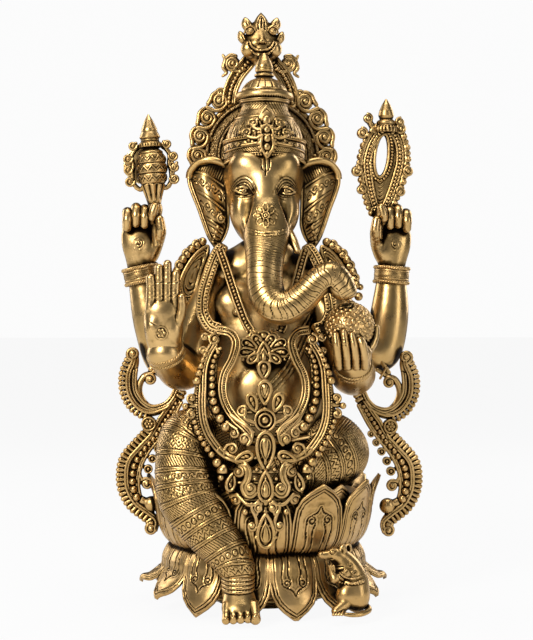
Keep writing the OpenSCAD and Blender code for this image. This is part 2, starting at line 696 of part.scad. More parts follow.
// ---- Ornaments on the body ----
module shoulder_plate(side) difference() {
    union() {
        hull() {
            translate([side * 64, -18, 378]) sphere(r = 5, $fn = 10);
            translate([side * 84, -22, 350]) scale([13, 4, 14]) sphere(1, $fn = 10);
            translate([side * 88, -24, 330]) scale([12, 4, 10]) sphere(1, $fn = 10);
        }
        for (k = [0 : 5])
            hull() {
                translate([side * (70 + 5.4 * k), -18, 384 - 8 * k]) sphere(r = 4.4, $fn = 6);
                translate([side * (73 + 5.4 * k), -17, 384 - 8 * k]) sphere(r = 4, $fn = 6);
            }
        hull() {
            translate([side * 96, -22, 330]) sphere(r = 5.4, $fn = 6);
            translate([side * 92, -22, 322]) sphere(r = 5, $fn = 6);
        }
    }
    raw_torso();
    chain(side < 0 ? right_front_arm_path : left_front_arm_path);
    chain(side < 0 ? right_rear_arm_path : left_rear_arm_path);
}

module right_shoulder_plate() color(brass) shoulder_plate(-1);
module left_shoulder_plate() color(brass) shoulder_plate(1);

module sash(side) difference() {
    draped([for (p = sash_path) [side * p[0], p[1]]], [-22, -36, -46, -56, -64], 14, 7);
    raw_torso();
    chain(trunk_path);
    chain(side < 0 ? right_front_arm_path : left_front_arm_path);
    shoulder_plate(side);
}

module right_sash() color(brass) sash(-1);
module left_sash() color(brass) sash(1);

module necklace() color(brass) difference() {
    union() {
        for (s = [-1, 1])
            draped([for (p = necklace_path) [s * p[0] - 3, p[1]]], [-30, -44, -54, -68, -80], 9, 6);
        hull() {
            translate([-5, -82, 285]) scale([23, 5, 9]) sphere(1, $fn = 14);
            translate([-5, -86, 262]) scale([6, 4, 8]) sphere(1, $fn = 12);
        }
    }
    raw_torso();
    chain(trunk_path);
    for (s = [-1, 1]) sash(s);
}

function garland_depth(p) = -86 - 24 * sin(min(max((300 - p[1]) / 150, 0), 1) * 90);

// One strand: an outer and an inner ribbon with a web between them, from a scroll at the chest.
module garland_side(side) difference() {
    translate([-5.5, 0, 0]) {
        for (path = [garland_outer, garland_inner])
            draped([for (p = path) [side * p[0], p[1]]], [for (p = path) garland_depth(p)], 10, 6);
        for (k = [0 : 2 : 8])
            draped(
                [[side * garland_outer[k][0], garland_outer[k][1]],
                [side * garland_inner[k][0], garland_inner[k][1]]],
                [garland_depth(garland_outer[k]), garland_depth(garland_inner[k])], 5, 4
            );
    }
    raw_torso();
    sash(side < 0 ? 1 : -1);
    chain(right_leg_path);
    chain(left_leg_path);
    raw_modak(gap);
    chain(left_front_arm_path);
    chain(left_foot_path);
}

module right_garland() color(brass) garland_side(1);
module left_garland() color(brass) garland_side(-1);

// The pendant: jewels hung one under another in an openwork plate of scrolls.
module garland_pendant() color(brass) difference() {
    translate([-5.5, 0, 0]) rows([
        [[0, 240], 5], [[0, 226], 24], [[0, 216], 24], [[0, 202], 10], [[0, 184], 12], [[0, 170], 20],
        [[0, 158], 34], [[0, 136], 33], [[0, 118], 28], [[0, 100], 15], [[0, 80], 2]
    ]);
    for (s = [-1, 1]) garland_side(s);
    raw_torso();
    chain(right_leg_path);
    chain(left_foot_path);
}

module rows(list)
    for (i = [0 : len(list) - 2])
        hull()
            for (k = [i, i + 1])
                for (s = [-1, 1])
                    translate([s * list[k][1], pendant_depth(list[k][0][1]), list[k][0][1]])
                        sphere(r = 3.2, $fn = 8);

function pendant_depth(z) = z > 150 ? -113 - (222 - z) * 0.15 : -123.8 - (150 - z) * 0.05;

// ---- Side scroll brackets ----
module band(stations, depth, thickness)
    for (i = [0 : len(stations) - 2])
        hull()
            for (k = [i, i + 1])
                let (path = [for (q = stations) q[0]])
                    for (s = [-1, 1])
                        let (p = path[k] + side_of(path, k) * s * (stations[k][1] - thickness) / 2)
                            translate([p[0], depth, p[1]]) sphere(d = thickness, $fn = 6);

module raw_bracket() {
    band(bracket_band, bracket_y, 8);
    band(bracket_scroll, bracket_y, 8);
    band(bracket_curl, bracket_y, 6);
    disc_xz([130, 188], 8, bracket_y, 7);
    disc_xz([147, 263], 6, bracket_y, 7);
    disc_xz([128, 75], 7.5, bracket_y, 7);
    chain([[[132, bracket_y, 122], [7, 5, 7]], [[138, bracket_y, 124], [6, 4, 6]]], 8);
    chain([[[127, bracket_y, 102], [8.6, 7, 8.6]], [[136, bracket_y, 102], [7, 4, 7]]], 8);
}

module bracket(side, drop) difference() {
    translate([7, 0, drop]) mirror([side < 0 ? 1 : 0, 0, 0]) raw_bracket();
    chain(side < 0 ? right_rear_arm_path : left_rear_arm_path);
    chain(side < 0 ? right_front_arm_path : left_front_arm_path);
    chain(side < 0 ? right_leg_path : left_leg_path);
    raw_seat();
}

module right_scroll_bracket() color(brass) bracket(-1, 2);
module left_scroll_bracket() color(brass) bracket(1, -2);

// ---- Mouse ----
// It sits up on a lower petal, its muzzle turned towards the figure's foot.
module raw_mouse(grow = 0) {
    g = [grow, grow, grow];
    chain([
        [[70, -112, 64], [8, 9, 7] + g], [[76, -112, 54], [10, 10, 10] + g],
        [[81, -113, 38], [13, 12, 14] + g],
        [[82, -115, 22], [15, 14, 14] + g]
    ], 8);
    chain([[[70, -112, 64], [8, 8, 8] + g], [[51, -117, 67], [3, 3, 3] + g]], 8);
    chain([[[76, -121, 34], [7, 9, 9] + g], [[66, -125, 17], [6, 6, 5] + g]], 8);
    chain([[[76, -114, 50], [8, 8, 8] + g], [[62, -120, 46], [3, 3, 3] + g]], 8);
    for (x = [73, 80]) chain([[[x, -111, 64], [5, 5, 6] + g], [[x + 4, -111, 75], [4, 5, 5] + g]], 8);
}

module mouse() color(brass) raw_mouse();

base_plate();
base_screws();
lotus_base();
lotus_seat();
seat_bolts();
seat_nuts();
figure_bolts();
torso();
right_leg();
left_leg();
right_foot();
left_foot();
right_front_arm();
left_front_arm();
right_rear_arm();
left_rear_arm();
shoulder_dowels();
right_front_hand();
left_front_hand();
right_rear_hand();
left_rear_hand();
right_front_bracelet();
left_front_bracelet();
right_rear_bracelet();
left_rear_bracelet();
modak();
goad();
chakra_disc();
noose();
head();
neck_stud();
trunk();
right_ear();
left_ear();
tusk();
crown_cap();
crown_band();
crown_jewel();
crown_brim();
crown_spire();
halo_plate();
halo_screws();
right_halo_scrolls();
left_halo_scrolls();
halo_crest();
right_shoulder_plate();
left_shoulder_plate();
right_sash();
left_sash();
necklace();
right_garland();
left_garland();
garland_pendant();
right_scroll_bracket();
left_scroll_bracket();
mouse();
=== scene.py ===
import math

import bpy
import numpy as np
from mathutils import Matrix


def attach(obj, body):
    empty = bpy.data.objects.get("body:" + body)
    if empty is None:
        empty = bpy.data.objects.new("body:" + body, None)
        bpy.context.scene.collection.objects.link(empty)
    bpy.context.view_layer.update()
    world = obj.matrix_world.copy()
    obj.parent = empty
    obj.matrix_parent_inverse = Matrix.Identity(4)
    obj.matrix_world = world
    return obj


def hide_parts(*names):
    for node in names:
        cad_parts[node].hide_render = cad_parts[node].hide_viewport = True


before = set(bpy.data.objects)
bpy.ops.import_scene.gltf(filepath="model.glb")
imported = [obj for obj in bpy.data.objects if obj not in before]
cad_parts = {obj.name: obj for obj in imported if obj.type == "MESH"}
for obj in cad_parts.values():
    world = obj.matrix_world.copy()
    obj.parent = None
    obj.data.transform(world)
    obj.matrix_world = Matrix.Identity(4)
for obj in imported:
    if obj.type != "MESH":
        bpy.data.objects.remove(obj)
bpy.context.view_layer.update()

import openvdb
from mathutils import Vector

PI = math.pi
MM = 0.001


# ---------------------------------------------------------------- camera
CAMERA_TURN = math.radians(3.5)     # how far the view comes from the left of straight ahead
CAMERA_BACK, CAMERA_SIDE, CAMERA_HEIGHT = 1.6, 0.003, 0.301
SENSOR_MM, LENS_MM = 36.0, 83.76


def make_camera():
    side = np.array([math.cos(CAMERA_TURN), -math.sin(CAMERA_TURN), 0.0])
    ahead = np.array([math.sin(CAMERA_TURN), math.cos(CAMERA_TURN), 0.0])
    place = -CAMERA_BACK * ahead + CAMERA_SIDE * side + np.array([0, 0, CAMERA_HEIGHT])
    data = bpy.data.cameras.new("camera")
    cam = bpy.data.objects.new("camera", data)
    bpy.context.scene.collection.objects.link(cam)
    cam.location = Vector(place)
    cam.rotation_euler = Vector(ahead).to_track_quat("-Z", "Y").to_euler()
    data.sensor_width = SENSOR_MM
    data.lens = LENS_MM
    data.dof.use_dof = False
    bpy.context.scene.camera = cam


make_camera()


# ---------------------------------------------------------------- small maths
def v3(*a):
    return np.array(a, float)


def unit(v):
    v = np.asarray(v, float)
    n = np.linalg.norm(v, axis=-1, keepdims=True)
    return v / np.maximum(n, 1e-9)


def smooth_path(points, n, closed=False):
    """Catmull-Rom through given points (rows may carry extra columns, such as a radius)."""
    p = np.asarray(points, float)
    if closed:
        q = np.vstack([p[-1], p, p[0], p[1]])
        spans = len(p)
    else:
        q = np.vstack([2 * p[0] - p[1], p, 2 * p[-1] - p[-2]])
        spans = len(p) - 1
    t = np.linspace(0, spans, n, endpoint=not closed)
    i = np.minimum(t.astype(int), spans - 1)
    f = (t - i)[:, None]
    a, b, c, d = q[i], q[i + 1], q[i + 2], q[i + 3]
    square, cube = 2 * a - 5 * b + 4 * c - d, 3 * b - a - 3 * c + d
    return 0.5 * (2 * b + (c - a) * f + square * f**2 + cube * f**3)


def even_path(points, step, closed=False):
    """The same curve with its samples a fixed distance apart."""
    p = smooth_path(points, max(60, 24 * len(points)), closed)
    if closed:
        p = np.vstack([p, p[0]])
    s = np.concatenate([[0], np.cumsum(np.linalg.norm(np.diff(p[:, :3], axis=0), axis=1))])
    n = max(2, int(round(s[-1] / step)) + 1)
    at = np.linspace(0, s[-1], n)
    return np.stack([np.interp(at, s, p[:, k]) for k in range(p.shape[1])], 1)


def offset_path(p2, d):
    """Flat rows moved sideways by d, a number or one number for each row."""
    t = unit(np.gradient(p2, axis=0))
    return p2 + np.stack([-t[:, 1], t[:, 0]], 1) * np.asarray(d).reshape(-1, 1)


def ring_rows(x, z, r, n, tall=1.0):
    """A closed ring of n flat rows (x, z), the last one on the first."""
    return [[x + r * math.cos(t), z + tall * r * math.sin(t)] for t in np.linspace(0, 2 * PI, n)]


def round_section(r, n):
    """The section of a round wire for ribbon()."""
    return ring_rows(0, 0, r, n + 1)[:-1]


def smin(a, b, k):
    """The smaller of two distances, blended over a width k."""
    if k <= 0:
        return np.minimum(a, b)
    h = np.maximum(k - np.abs(a - b), 0) / k
    return np.minimum(a, b) - h * h * k * 0.25


def smax(a, b, k):
    """The larger of two distances, blended over a width k."""
    return -smin(-a, -b, k)


# ---------------------------------------------------------------- modelling clay
COARSE = 1.2    # every block's grid step is this much larger than it asks for, which keeps the meshes light
FAR = 8.0       # the distance that an empty block is filled with


class Clay:
    """A block of signed distances, in mm, that shapes are melted into and carved from."""

    def __init__(self, low, high, voxel=0.7):
        voxel = voxel * COARSE
        self.h = voxel
        self.low = np.floor(np.array(low, float) / voxel).astype(int)
        top = np.ceil(np.array(high, float) / voxel).astype(int)
        self.n = top - self.low + 1
        self.far = FAR
        self.d = np.full(tuple(self.n), self.far, np.float32)

    def _window(self, low, high):
        a = np.clip(np.floor(np.asarray(low) / self.h).astype(int) - self.low, 0, self.n)
        b = np.clip(np.ceil(np.asarray(high) / self.h).astype(int) - self.low + 1, 0, self.n)
        if np.any(b <= a):
            return None, None
        axes = [((np.arange(a[i], b[i]) + self.low[i]) * self.h).astype(np.float32) for i in range(3)]
        x, y, z = np.meshgrid(*axes, indexing="ij", sparse=True)
        return (slice(a[0], b[0]), slice(a[1], b[1]), slice(a[2], b[2])), (x, y, z)

    def put(self, low, high, field, k=0.0, cut=False):
        """Melts a field of distances in, or carves it out, inside the box from low to high."""
        pad = max(k, 0) + self.h * 2 + 0.4
        w, xyz = self._window(np.asarray(low, float) - pad, np.asarray(high, float) + pad)
        if w is None:
            return
        d = field(*xyz).astype(np.float32)
        if cut:
            self.d[w] = smax(self.d[w], -d, k)
        else:
            self.d[w] = smin(self.d[w], d, k)

    def ball(self, c, r, k=0.0, cut=False, turn=None):
        c = np.asarray(c, float)
        r = np.asarray([r] * 3 if np.isscalar(r) else r, float)
        reach = np.full(3, r.max()) if turn is not None else r

        def field(x, y, z):
            dx, dy, dz = x - c[0], y - c[1], z - c[2]
            if turn is not None:
                m = np.asarray(turn, float)
                dx, dy, dz = (m[0][i] * dx + m[1][i] * dy + m[2][i] * dz for i in range(3))
            k0 = np.sqrt((dx / r[0]) ** 2 + (dy / r[1]) ** 2 + (dz / r[2]) ** 2)
            k1 = np.sqrt((dx / r[0] ** 2) ** 2 + (dy / r[1] ** 2) ** 2 + (dz / r[2] ** 2) ** 2)
            return k0 * (k0 - 1) / np.maximum(k1, 1e-6)

        self.put(c - reach, c + reach, field, k, cut)

    def rod(self, a, b, ra, rb=None, k=0.0, cut=False, flat=None):
        a, b = np.asarray(a, float), np.asarray(b, float)
        rb = ra if rb is None else rb
        ab = b - a
        q = max(float(ab @ ab), 1e-9)
        m = max(ra, rb)

        def field(x, y, z):
            px, py, pz = x - a[0], y - a[1], z - a[2]
            t = np.clip((px * ab[0] + py * ab[1] + pz * ab[2]) / q, 0, 1)
            dx, dy, dz = px - t * ab[0], py - t * ab[1], pz - t * ab[2]
            if flat is not None:
                dy = dy * flat
            return np.sqrt(dx * dx + dy * dy + dz * dz) - (ra + t * (rb - ra))

        self.put(np.minimum(a, b) - m, np.maximum(a, b) + m, field, k, cut)

    def cord(self, path, r, k=0.0, cut=False, flat=None):
        """A run of rods through path rows (x, y, z[, radius])."""
        p = np.asarray(path, float)
        rr = p[:, 3] if p.shape[1] > 3 else np.broadcast_to(np.asarray(r, float), (len(p),))
        for i in range(len(p) - 1):
            self.rod(p[i, :3], p[i + 1, :3], float(rr[i]), float(rr[i + 1]), k, cut, flat)

    def limb(self, stations, n=24, k=5.0):
        """A limb through stations (x, y, z, rx, ry, rz) of smoothly changing size."""
        for row in smooth_path(stations, n):
            self.ball(row[:3], row[3:6], k)

    def disc(self, c, r, half, k=0.0, cut=False, axis=1, soft=0.5):
        c = np.asarray(c, float)
        low, high = c - r, c + r
        low[axis], high[axis] = c[axis] - half, c[axis] + half
        i, j = [t for t in range(3) if t != axis]

        def field(*p):
            q = np.sqrt((p[i] - c[i]) ** 2 + (p[j] - c[j]) ** 2) - (r - soft)
            e = np.abs(p[axis] - c[axis]) - (half - soft)
            outside = np.sqrt(np.maximum(q, 0) ** 2 + np.maximum(e, 0) ** 2)
            return np.minimum(np.maximum(q, e), 0) + outside - soft

        self.put(low, high, field, k, cut)

    def plane(self, point, normal, k=0.0):
        """Cuts away all that is beyond the plane on the normal's side."""
        n = unit(normal)
        p = np.asarray(point, float)

        def field(x, y, z):
            return -((x - p[0]) * n[0] + (y - p[1]) * n[1] + (z - p[2]) * n[2])

        self.put(self.low * self.h, (self.low + self.n) * self.h, field, k, True)

    def front(self, x, z):
        """The y of the surface met when coming from the front at (x, z)."""
        i = int(round(x / self.h)) - self.low[0]
        j = int(round(z / self.h)) - self.low[2]
        i, j = np.clip(i, 0, self.n[0] - 1), np.clip(j, 0, self.n[2] - 1)
        line = self.d[i, :, j]
        hit = np.nonzero(line < 0)[0]
        return (hit[0] + self.low[1]) * self.h if len(hit) else None

    def front_rows(self, rows, lift=0.0):
        """Rows (x, z) laid on the front surface and moved forward by lift. Rows that miss it are left out."""
        found = [(x, self.front(x, z), z) for x, z in rows]
        return [[x, y - lift, z] for x, y, z in found if y is not None]

    def mesh(self):
        """The surface at distance zero, as vertices in mm and four-sided faces."""
        self.d[[0, -1]] = self.far
        self.d[:, [0, -1]] = self.far
        self.d[:, :, [0, -1]] = self.far
        grid = openvdb.FloatGrid(self.far)
        grid.copyFromArray(np.clip(self.d, -4, 4))
        p, q = grid.convertToQuads(0.0)
        return (p + self.low) * self.h, q.astype(np.int64)


def normals_of(v, f):
    """Vertex normals. A face row that ends in -1 is a triangle."""
    third = np.where(f[:, 3] < 0, f[:, 2], f[:, 3])
    n = np.cross(v[f[:, 2]] - v[f[:, 0]], v[third] - v[f[:, 1]])
    tri = f[:, 3] < 0
    n[tri] = np.cross(v[f[tri, 1]] - v[f[tri, 0]], v[f[tri, 2]] - v[f[tri, 0]])
    out = np.zeros_like(v)
    for k in range(4):
        ok = f[:, k] >= 0
        for j in range(3):
            out[:, j] += np.bincount(f[ok, k], n[ok, j], len(v))
    return unit(out)


# ---------------------------------------------------------------- mesh makers
def grid_faces(rows, cols, wrap_rows=False, wrap_cols=False, flip=False):
    """The four-sided faces between the vertices of a grid, counted row by row."""
    r = np.arange(rows if wrap_rows else rows - 1)
    c = np.arange(cols if wrap_cols else cols - 1)
    i, j = np.meshgrid(r, c, indexing="ij")
    i2, j2 = (i + 1) % rows, (j + 1) % cols
    f = np.stack([i * cols + j, i * cols + j2, i2 * cols + j2, i2 * cols + j], -1).reshape(-1, 4)
    return f[:, ::-1] if flip else f


def closed_ends(v, f, rows, m, centres, flips):
    """Closes both ends of a tube of rows x m vertices with a fan of triangles round each end's centre."""
    k = np.arange(m)
    for row, centre, flip in zip((0, rows - 1), centres, flips):
        v = np.vstack([v, [centre]])
        tri = np.stack([row * m + k, row * m + (k + 1) % m, np.full(m, len(v) - 1), np.full(m, -1)], 1)
        f = np.vstack([f, tri[:, [1, 0, 2, 3]] if flip else tri])
    return v, f


def closed_sheet(front, back):
    """A closed solid between two grids of points with the same rows and columns."""
    rows, cols = front.shape[:2]
    n = rows * cols
    faces = [grid_faces(rows, cols), grid_faces(rows, cols, flip=True) + n]
    down, across = np.arange(rows - 1) * cols, np.arange(cols - 1)
    sides = ((down, cols, False), (down + cols - 1, cols, True), (across, 1, True),
             (across + n - cols, 1, False))
    for a, step, flip in sides:
        q = np.stack([a, a + step, a + step + n, a + n], 1)
        faces.append(q[:, ::-1] if flip else q)
    return np.vstack([front.reshape(-1, 3), back.reshape(-1, 3)]), np.vstack(faces)


def lathe(profile, centre, n=64, relief=None, step=0.8):
    """A closed turned form: profile rows (r, z) from bottom to top, with relief(angle, z, r) in mm."""
    p = divided(profile, step)
    a = np.linspace(0, 2 * PI, n, endpoint=False)
    r, z = p[:, 0][:, None], p[:, 1][:, None]
    rr = np.repeat(r, n, 1)
    if relief is not None:
        rr = rr + relief(a[None, :], z, rr) * (rr > 0.5)
    v = np.stack([rr * np.sin(a), -rr * np.cos(a), np.repeat(z, n, 1)], -1).reshape(-1, 3)
    f = grid_faces(len(p), n, wrap_cols=True)
    v, f = closed_ends(v, f, len(p), n, ([0, 0, p[0, 1]], [0, 0, p[-1, 1]]), (True, False))
    return v + np.asarray(centre, float), f


def divided(rows, step):
    """The same straight runs, each cut into pieces no longer than step."""
    p = np.asarray(rows, float)
    out = [p[0]]
    for a, b in zip(p[:-1], p[1:]):
        n = max(1, int(np.ceil(np.linalg.norm(b - a) / step)))
        for k in range(1, n + 1):
            out.append(a + (b - a) * k / n)
    return np.array(out)


def sphere_mesh(c, r, seg=12, rings=8):
    """A ball, or with three radii an egg, of seg x rings faces."""
    a = np.linspace(0, 2 * PI, seg, endpoint=False)
    b = np.linspace(0, PI, rings + 1)[1:-1]
    r = np.asarray([r] * 3 if np.isscalar(r) else r, float)
    v = np.stack([
        np.outer(np.sin(b), np.cos(a)), np.outer(np.sin(b), np.sin(a)), np.outer(np.cos(b), np.ones(seg))
    ], -1).reshape(-1, 3)
    v = np.vstack([v, [[0, 0, 1], [0, 0, -1]]]) * r + np.asarray(c, float)
    f = grid_faces(rings - 1, seg, wrap_cols=True, flip=True)
    k = np.arange(seg)
    t = len(v) - 2
    top = np.stack([k, (k + 1) % seg, np.full(seg, t), np.full(seg, -1)], 1)
    base = (rings - 2) * seg
    bot = np.stack([base + (k + 1) % seg, base + k, np.full(seg, t + 1), np.full(seg, -1)], 1)
    return v, np.vstack([f, top, bot])


def ribbon(path, normal, section, step=0.9, closed=False):
    """Sweeps a closed section, rows (across, out), along a path. normal(point) gives the way out."""
    p = even_path(path, step, closed)[:, :3]
    if closed:
        p = p[:-1]
    t = unit(np.roll(p, -1, 0) - np.roll(p, 1, 0)) if closed else unit(np.gradient(p, axis=0))
    nrm = np.array([normal(q) for q in p], float)
    nrm = unit(nrm - (nrm * t).sum(1, keepdims=True) * t)
    across = np.cross(t, nrm)
    s = np.asarray(section, float)
    v = p[:, None] + across[:, None] * s[None, :, 0:1] + nrm[:, None] * s[None, :, 1:2]
    m = len(s)
    f = grid_faces(len(p), m, wrap_rows=closed, wrap_cols=True)
    if closed:
        return v.reshape(-1, 3), f
    return closed_ends(v.reshape(-1, 3), f, len(p), m, (v[0].mean(0), v[-1].mean(0)), (False, True))


def outward(v, f):
    """Turns a closed mesh's faces so that its volume is positive."""
    a, b, c = v[f[:, 0]], v[f[:, 1]], v[f[:, 2]]
    vol = (np.cross(b, c) * a).sum()
    quad = f[:, 3] >= 0
    d = v[f[quad, 3]]
    vol += (np.cross(c[quad], d) * a[quad]).sum()
    if vol < 0:
        g = f.copy()
        g[quad] = f[quad][:, ::-1]
        g[~quad, 0], g[~quad, 1] = f[~quad, 1], f[~quad, 0]
        return v, g
    return v, f


class Heap:
    """Several closed meshes gathered into one piece."""

    def __init__(self):
        self.v, self.f, self.count = [], [], 0

    def add(self, mesh):
        v, f = outward(mesh[0], np.asarray(mesh[1], np.int64))
        g = f.copy()
        g[f >= 0] += self.count
        self.v.append(np.asarray(v, float))
        self.f.append(g)
        self.count += len(v)

    def mesh(self):
        return np.vstack(self.v), np.vstack(self.f)


PIECES = []
LOWEST = 0.1    # nothing goes below this height, because the idol rests on the floor at 0


def piece(name, mesh, nodes, slot, shade="skin"):
    """Keeps a mesh in mm for the end, where it gets its material and takes the place of its CAD nodes."""
    v, f = mesh
    v = np.array(v, float)
    v[:, 2] = np.maximum(v[:, 2], LOWEST)
    PIECES.append({"name": name, "v": v, "f": np.asarray(f, np.int64), "nodes": nodes, "slot": slot,
                   "shade": shade})


def ornament(name, mesh, node):
    """A piece of worked ornament that stands for one CAD node."""
    piece(name, mesh, [node], "ornament_brass", "ornament")


# ---------------------------------------------------------------- flat curls and jewels
def curl(centre, r, turns, start, hand=1):
    """A spiral in the x-z plane, outside in: rows (x, z)."""
    t = np.linspace(0, 1, int(16 * turns) + 6)
    a = np.radians(start) + hand * 2 * PI * turns * t
    q = r * (1 - 0.7 * t**0.85)
    return np.stack([centre[0] + q * np.cos(a), centre[1] + q * np.sin(a)], 1)


def lay(path2, depth):
    """Lays x-z rows at a depth, which is a number or a function of (x, z)."""
    p = np.asarray(path2, float)
    y = np.array([depth(a, b) if callable(depth) else depth for a, b in p[:, :2]])
    return np.stack([p[:, 0], y, p[:, 1]], 1)


def wire_along(c, rows, depth, back, wire, k=0.4):
    """A wire along x-z rows, set back mm behind the surface that depth(x, z) gives."""
    c.cord(lay(rows, lambda x, z: depth(x, z) + back), wire, k)


def scroll(clay, c, r, depth, turns=1.35, start=0.0, hand=1, wire=1.3, lead=None, eye=True):
    """A rolled wire scroll, with an optional lead-in path in the same plane."""
    p = curl(c, r, turns, start, hand)
    if lead is not None:
        p = np.vstack([np.asarray(lead, float), p])
    q = lay(p, depth)
    clay.cord(np.column_stack([q, np.linspace(wire, wire * 0.8, len(q))]), wire, 0.35)
    if eye:
        y = depth(c[0], c[1]) if callable(depth) else depth
        clay.ball([c[0], y, c[1]], wire * 1.25, 0.5)


# ---------------------------------------------------------------- torso with arms' roots
def torso_part():
    c = Clay((-92, -110, 118), (92, 64, 396), 0.8)
    c.limb([
        [0, 0, 138, 78, 60, 20], [-1, -10, 168, 76, 62, 36], [-2, -24, 224, 66, 60, 54],
        [-1, -12, 268, 56, 46, 40],
        [0, -4, 312, 58, 36, 36], [0, 0, 346, 46, 25, 22], [0, -6, 374, 27, 22, 16],
    ], 28, 6)
    c.ball([-2, -30, 232], [58, 57, 48], 10)
    c.ball([0, -4, 368], [34, 20, 18], 10)
    for s in (-1, 1):
        c.ball([s * 50, 3, 341], [21, 19, 20], 12)
        c.ball([s * 38, 4, 358], [24, 17, 16], 12)
        c.ball([s * 27 - 1, -27, 318], [27, 15, 20], 9)
        c.ball([s * 30 - 1, -42, 309], [2.6, 2.4, 2.6], 2)
        c.rod([s * 6, -4, 368], [s * 58, 2, 343], 15, 17, 10)
        c.rod([s * 10, -14, 360], [s * 44, -14, 352], 6, 6, 8)
        c.ball([s * 30, 20, 322], [24, 20, 32], 12)
    c.rod([0, 43, 346], [0, 44.5, 240], 6, 5, 12, cut=True)
    # two folds under the chest, and the navel
    for z, depth in ((290, 1.2), (283, 0.9)):
        a = np.linspace(-1.1, 1.1, 17)
        path = [[62 * math.sin(t) - 1, -10 - 52 * math.cos(t), z - 3 * math.cos(t) + 3] for t in a]
        c.cord(path, depth, 1.2, cut=True)
    c.ball([-4, -90, 205], [4.5, 5, 4.5], 3, cut=True)
    return c


TORSO = torso_part()


def add_sash(c):
    # three raised cords crossing the belly from the viewer's upper right to the lower left
    middle = even_path([[50, 304], [42, 289], [34, 272], [22, 253], [9, 238], [-6, 224], [-22, 210]], 2.0)
    sides = ((-4.2, 1.0), (0.0, 0.7), (4.2, 1.0))
    cords = [(c.front_rows(offset_path(middle, off), -0.3), wire) for off, wire in sides]
    for rows, wire in cords:
        c.cord(rows, wire, 0.9)
    # the roll of cloth round the waist
    roll = [[x, 184 - 7 * math.cos(x / 42)] for x in np.linspace(-66, 66, 60)]
    c.cord(c.front_rows(roll, 0.4), 3.2, 1.2)


add_sash(TORSO)
piece("torso_body", TORSO.mesh(), ["torso"], "skin_brass")


# ---------------------------------------------------------------- base and lotus
def lathe_piece(name, profile, nodes, slot, shade="lotus", n=96, relief=None):
    piece(name, lathe(profile, [0, 0, 0], n, relief, step=1.0), nodes, slot, shade)


def flutes(a, z, r):
    return np.where((z > 22) & (z < 56), 0.9 * np.cos(a * 56), 0)


lathe_piece("base_drum", [
    [0, 13.9], [79, 13.9], [83.5, 15], [85.5, 18], [84.5, 21], [85.2, 24], [87, 32], [89.5, 44], [91, 54],
    [92, 58],
    [90, 60.5], [86, 62], [0, 62],
], [], "lotus_brass", n=120, relief=flutes)


def line_cut(x, width):
    """1 on a line and falling to 0 away from it, for raised and sunk lines."""
    return np.exp(-(x / width) ** 2)


def petal_outline(v):
    """A petal's half-width, as a share of the widest, at v from 0 at its root to 1 at its tip."""
    return np.interp(v, [0, 0.12, 0.3, 0.5, 0.68, 0.80, 0.89, 0.95, 1.0],
                     [0.84, 0.94, 1.0, 1.0, 0.93, 0.76, 0.50, 0.25, 0.02])


def seg_distance(u, v, path):
    """Distance from grid points to a polyline in the petal's own mm plane."""
    best = np.full(u.shape, 1e9)
    p = np.asarray(path, float)
    for a, b in zip(p[:-1], p[1:]):
        ab = b - a
        q = max(float(ab @ ab), 1e-9)
        t = np.clip(((u - a[0]) * ab[0] + (v - a[1]) * ab[1]) / q, 0, 1)
        best = np.minimum(best, np.hypot(u - a[0] - t * ab[0], v - a[1] - t * ab[1]))
    return best


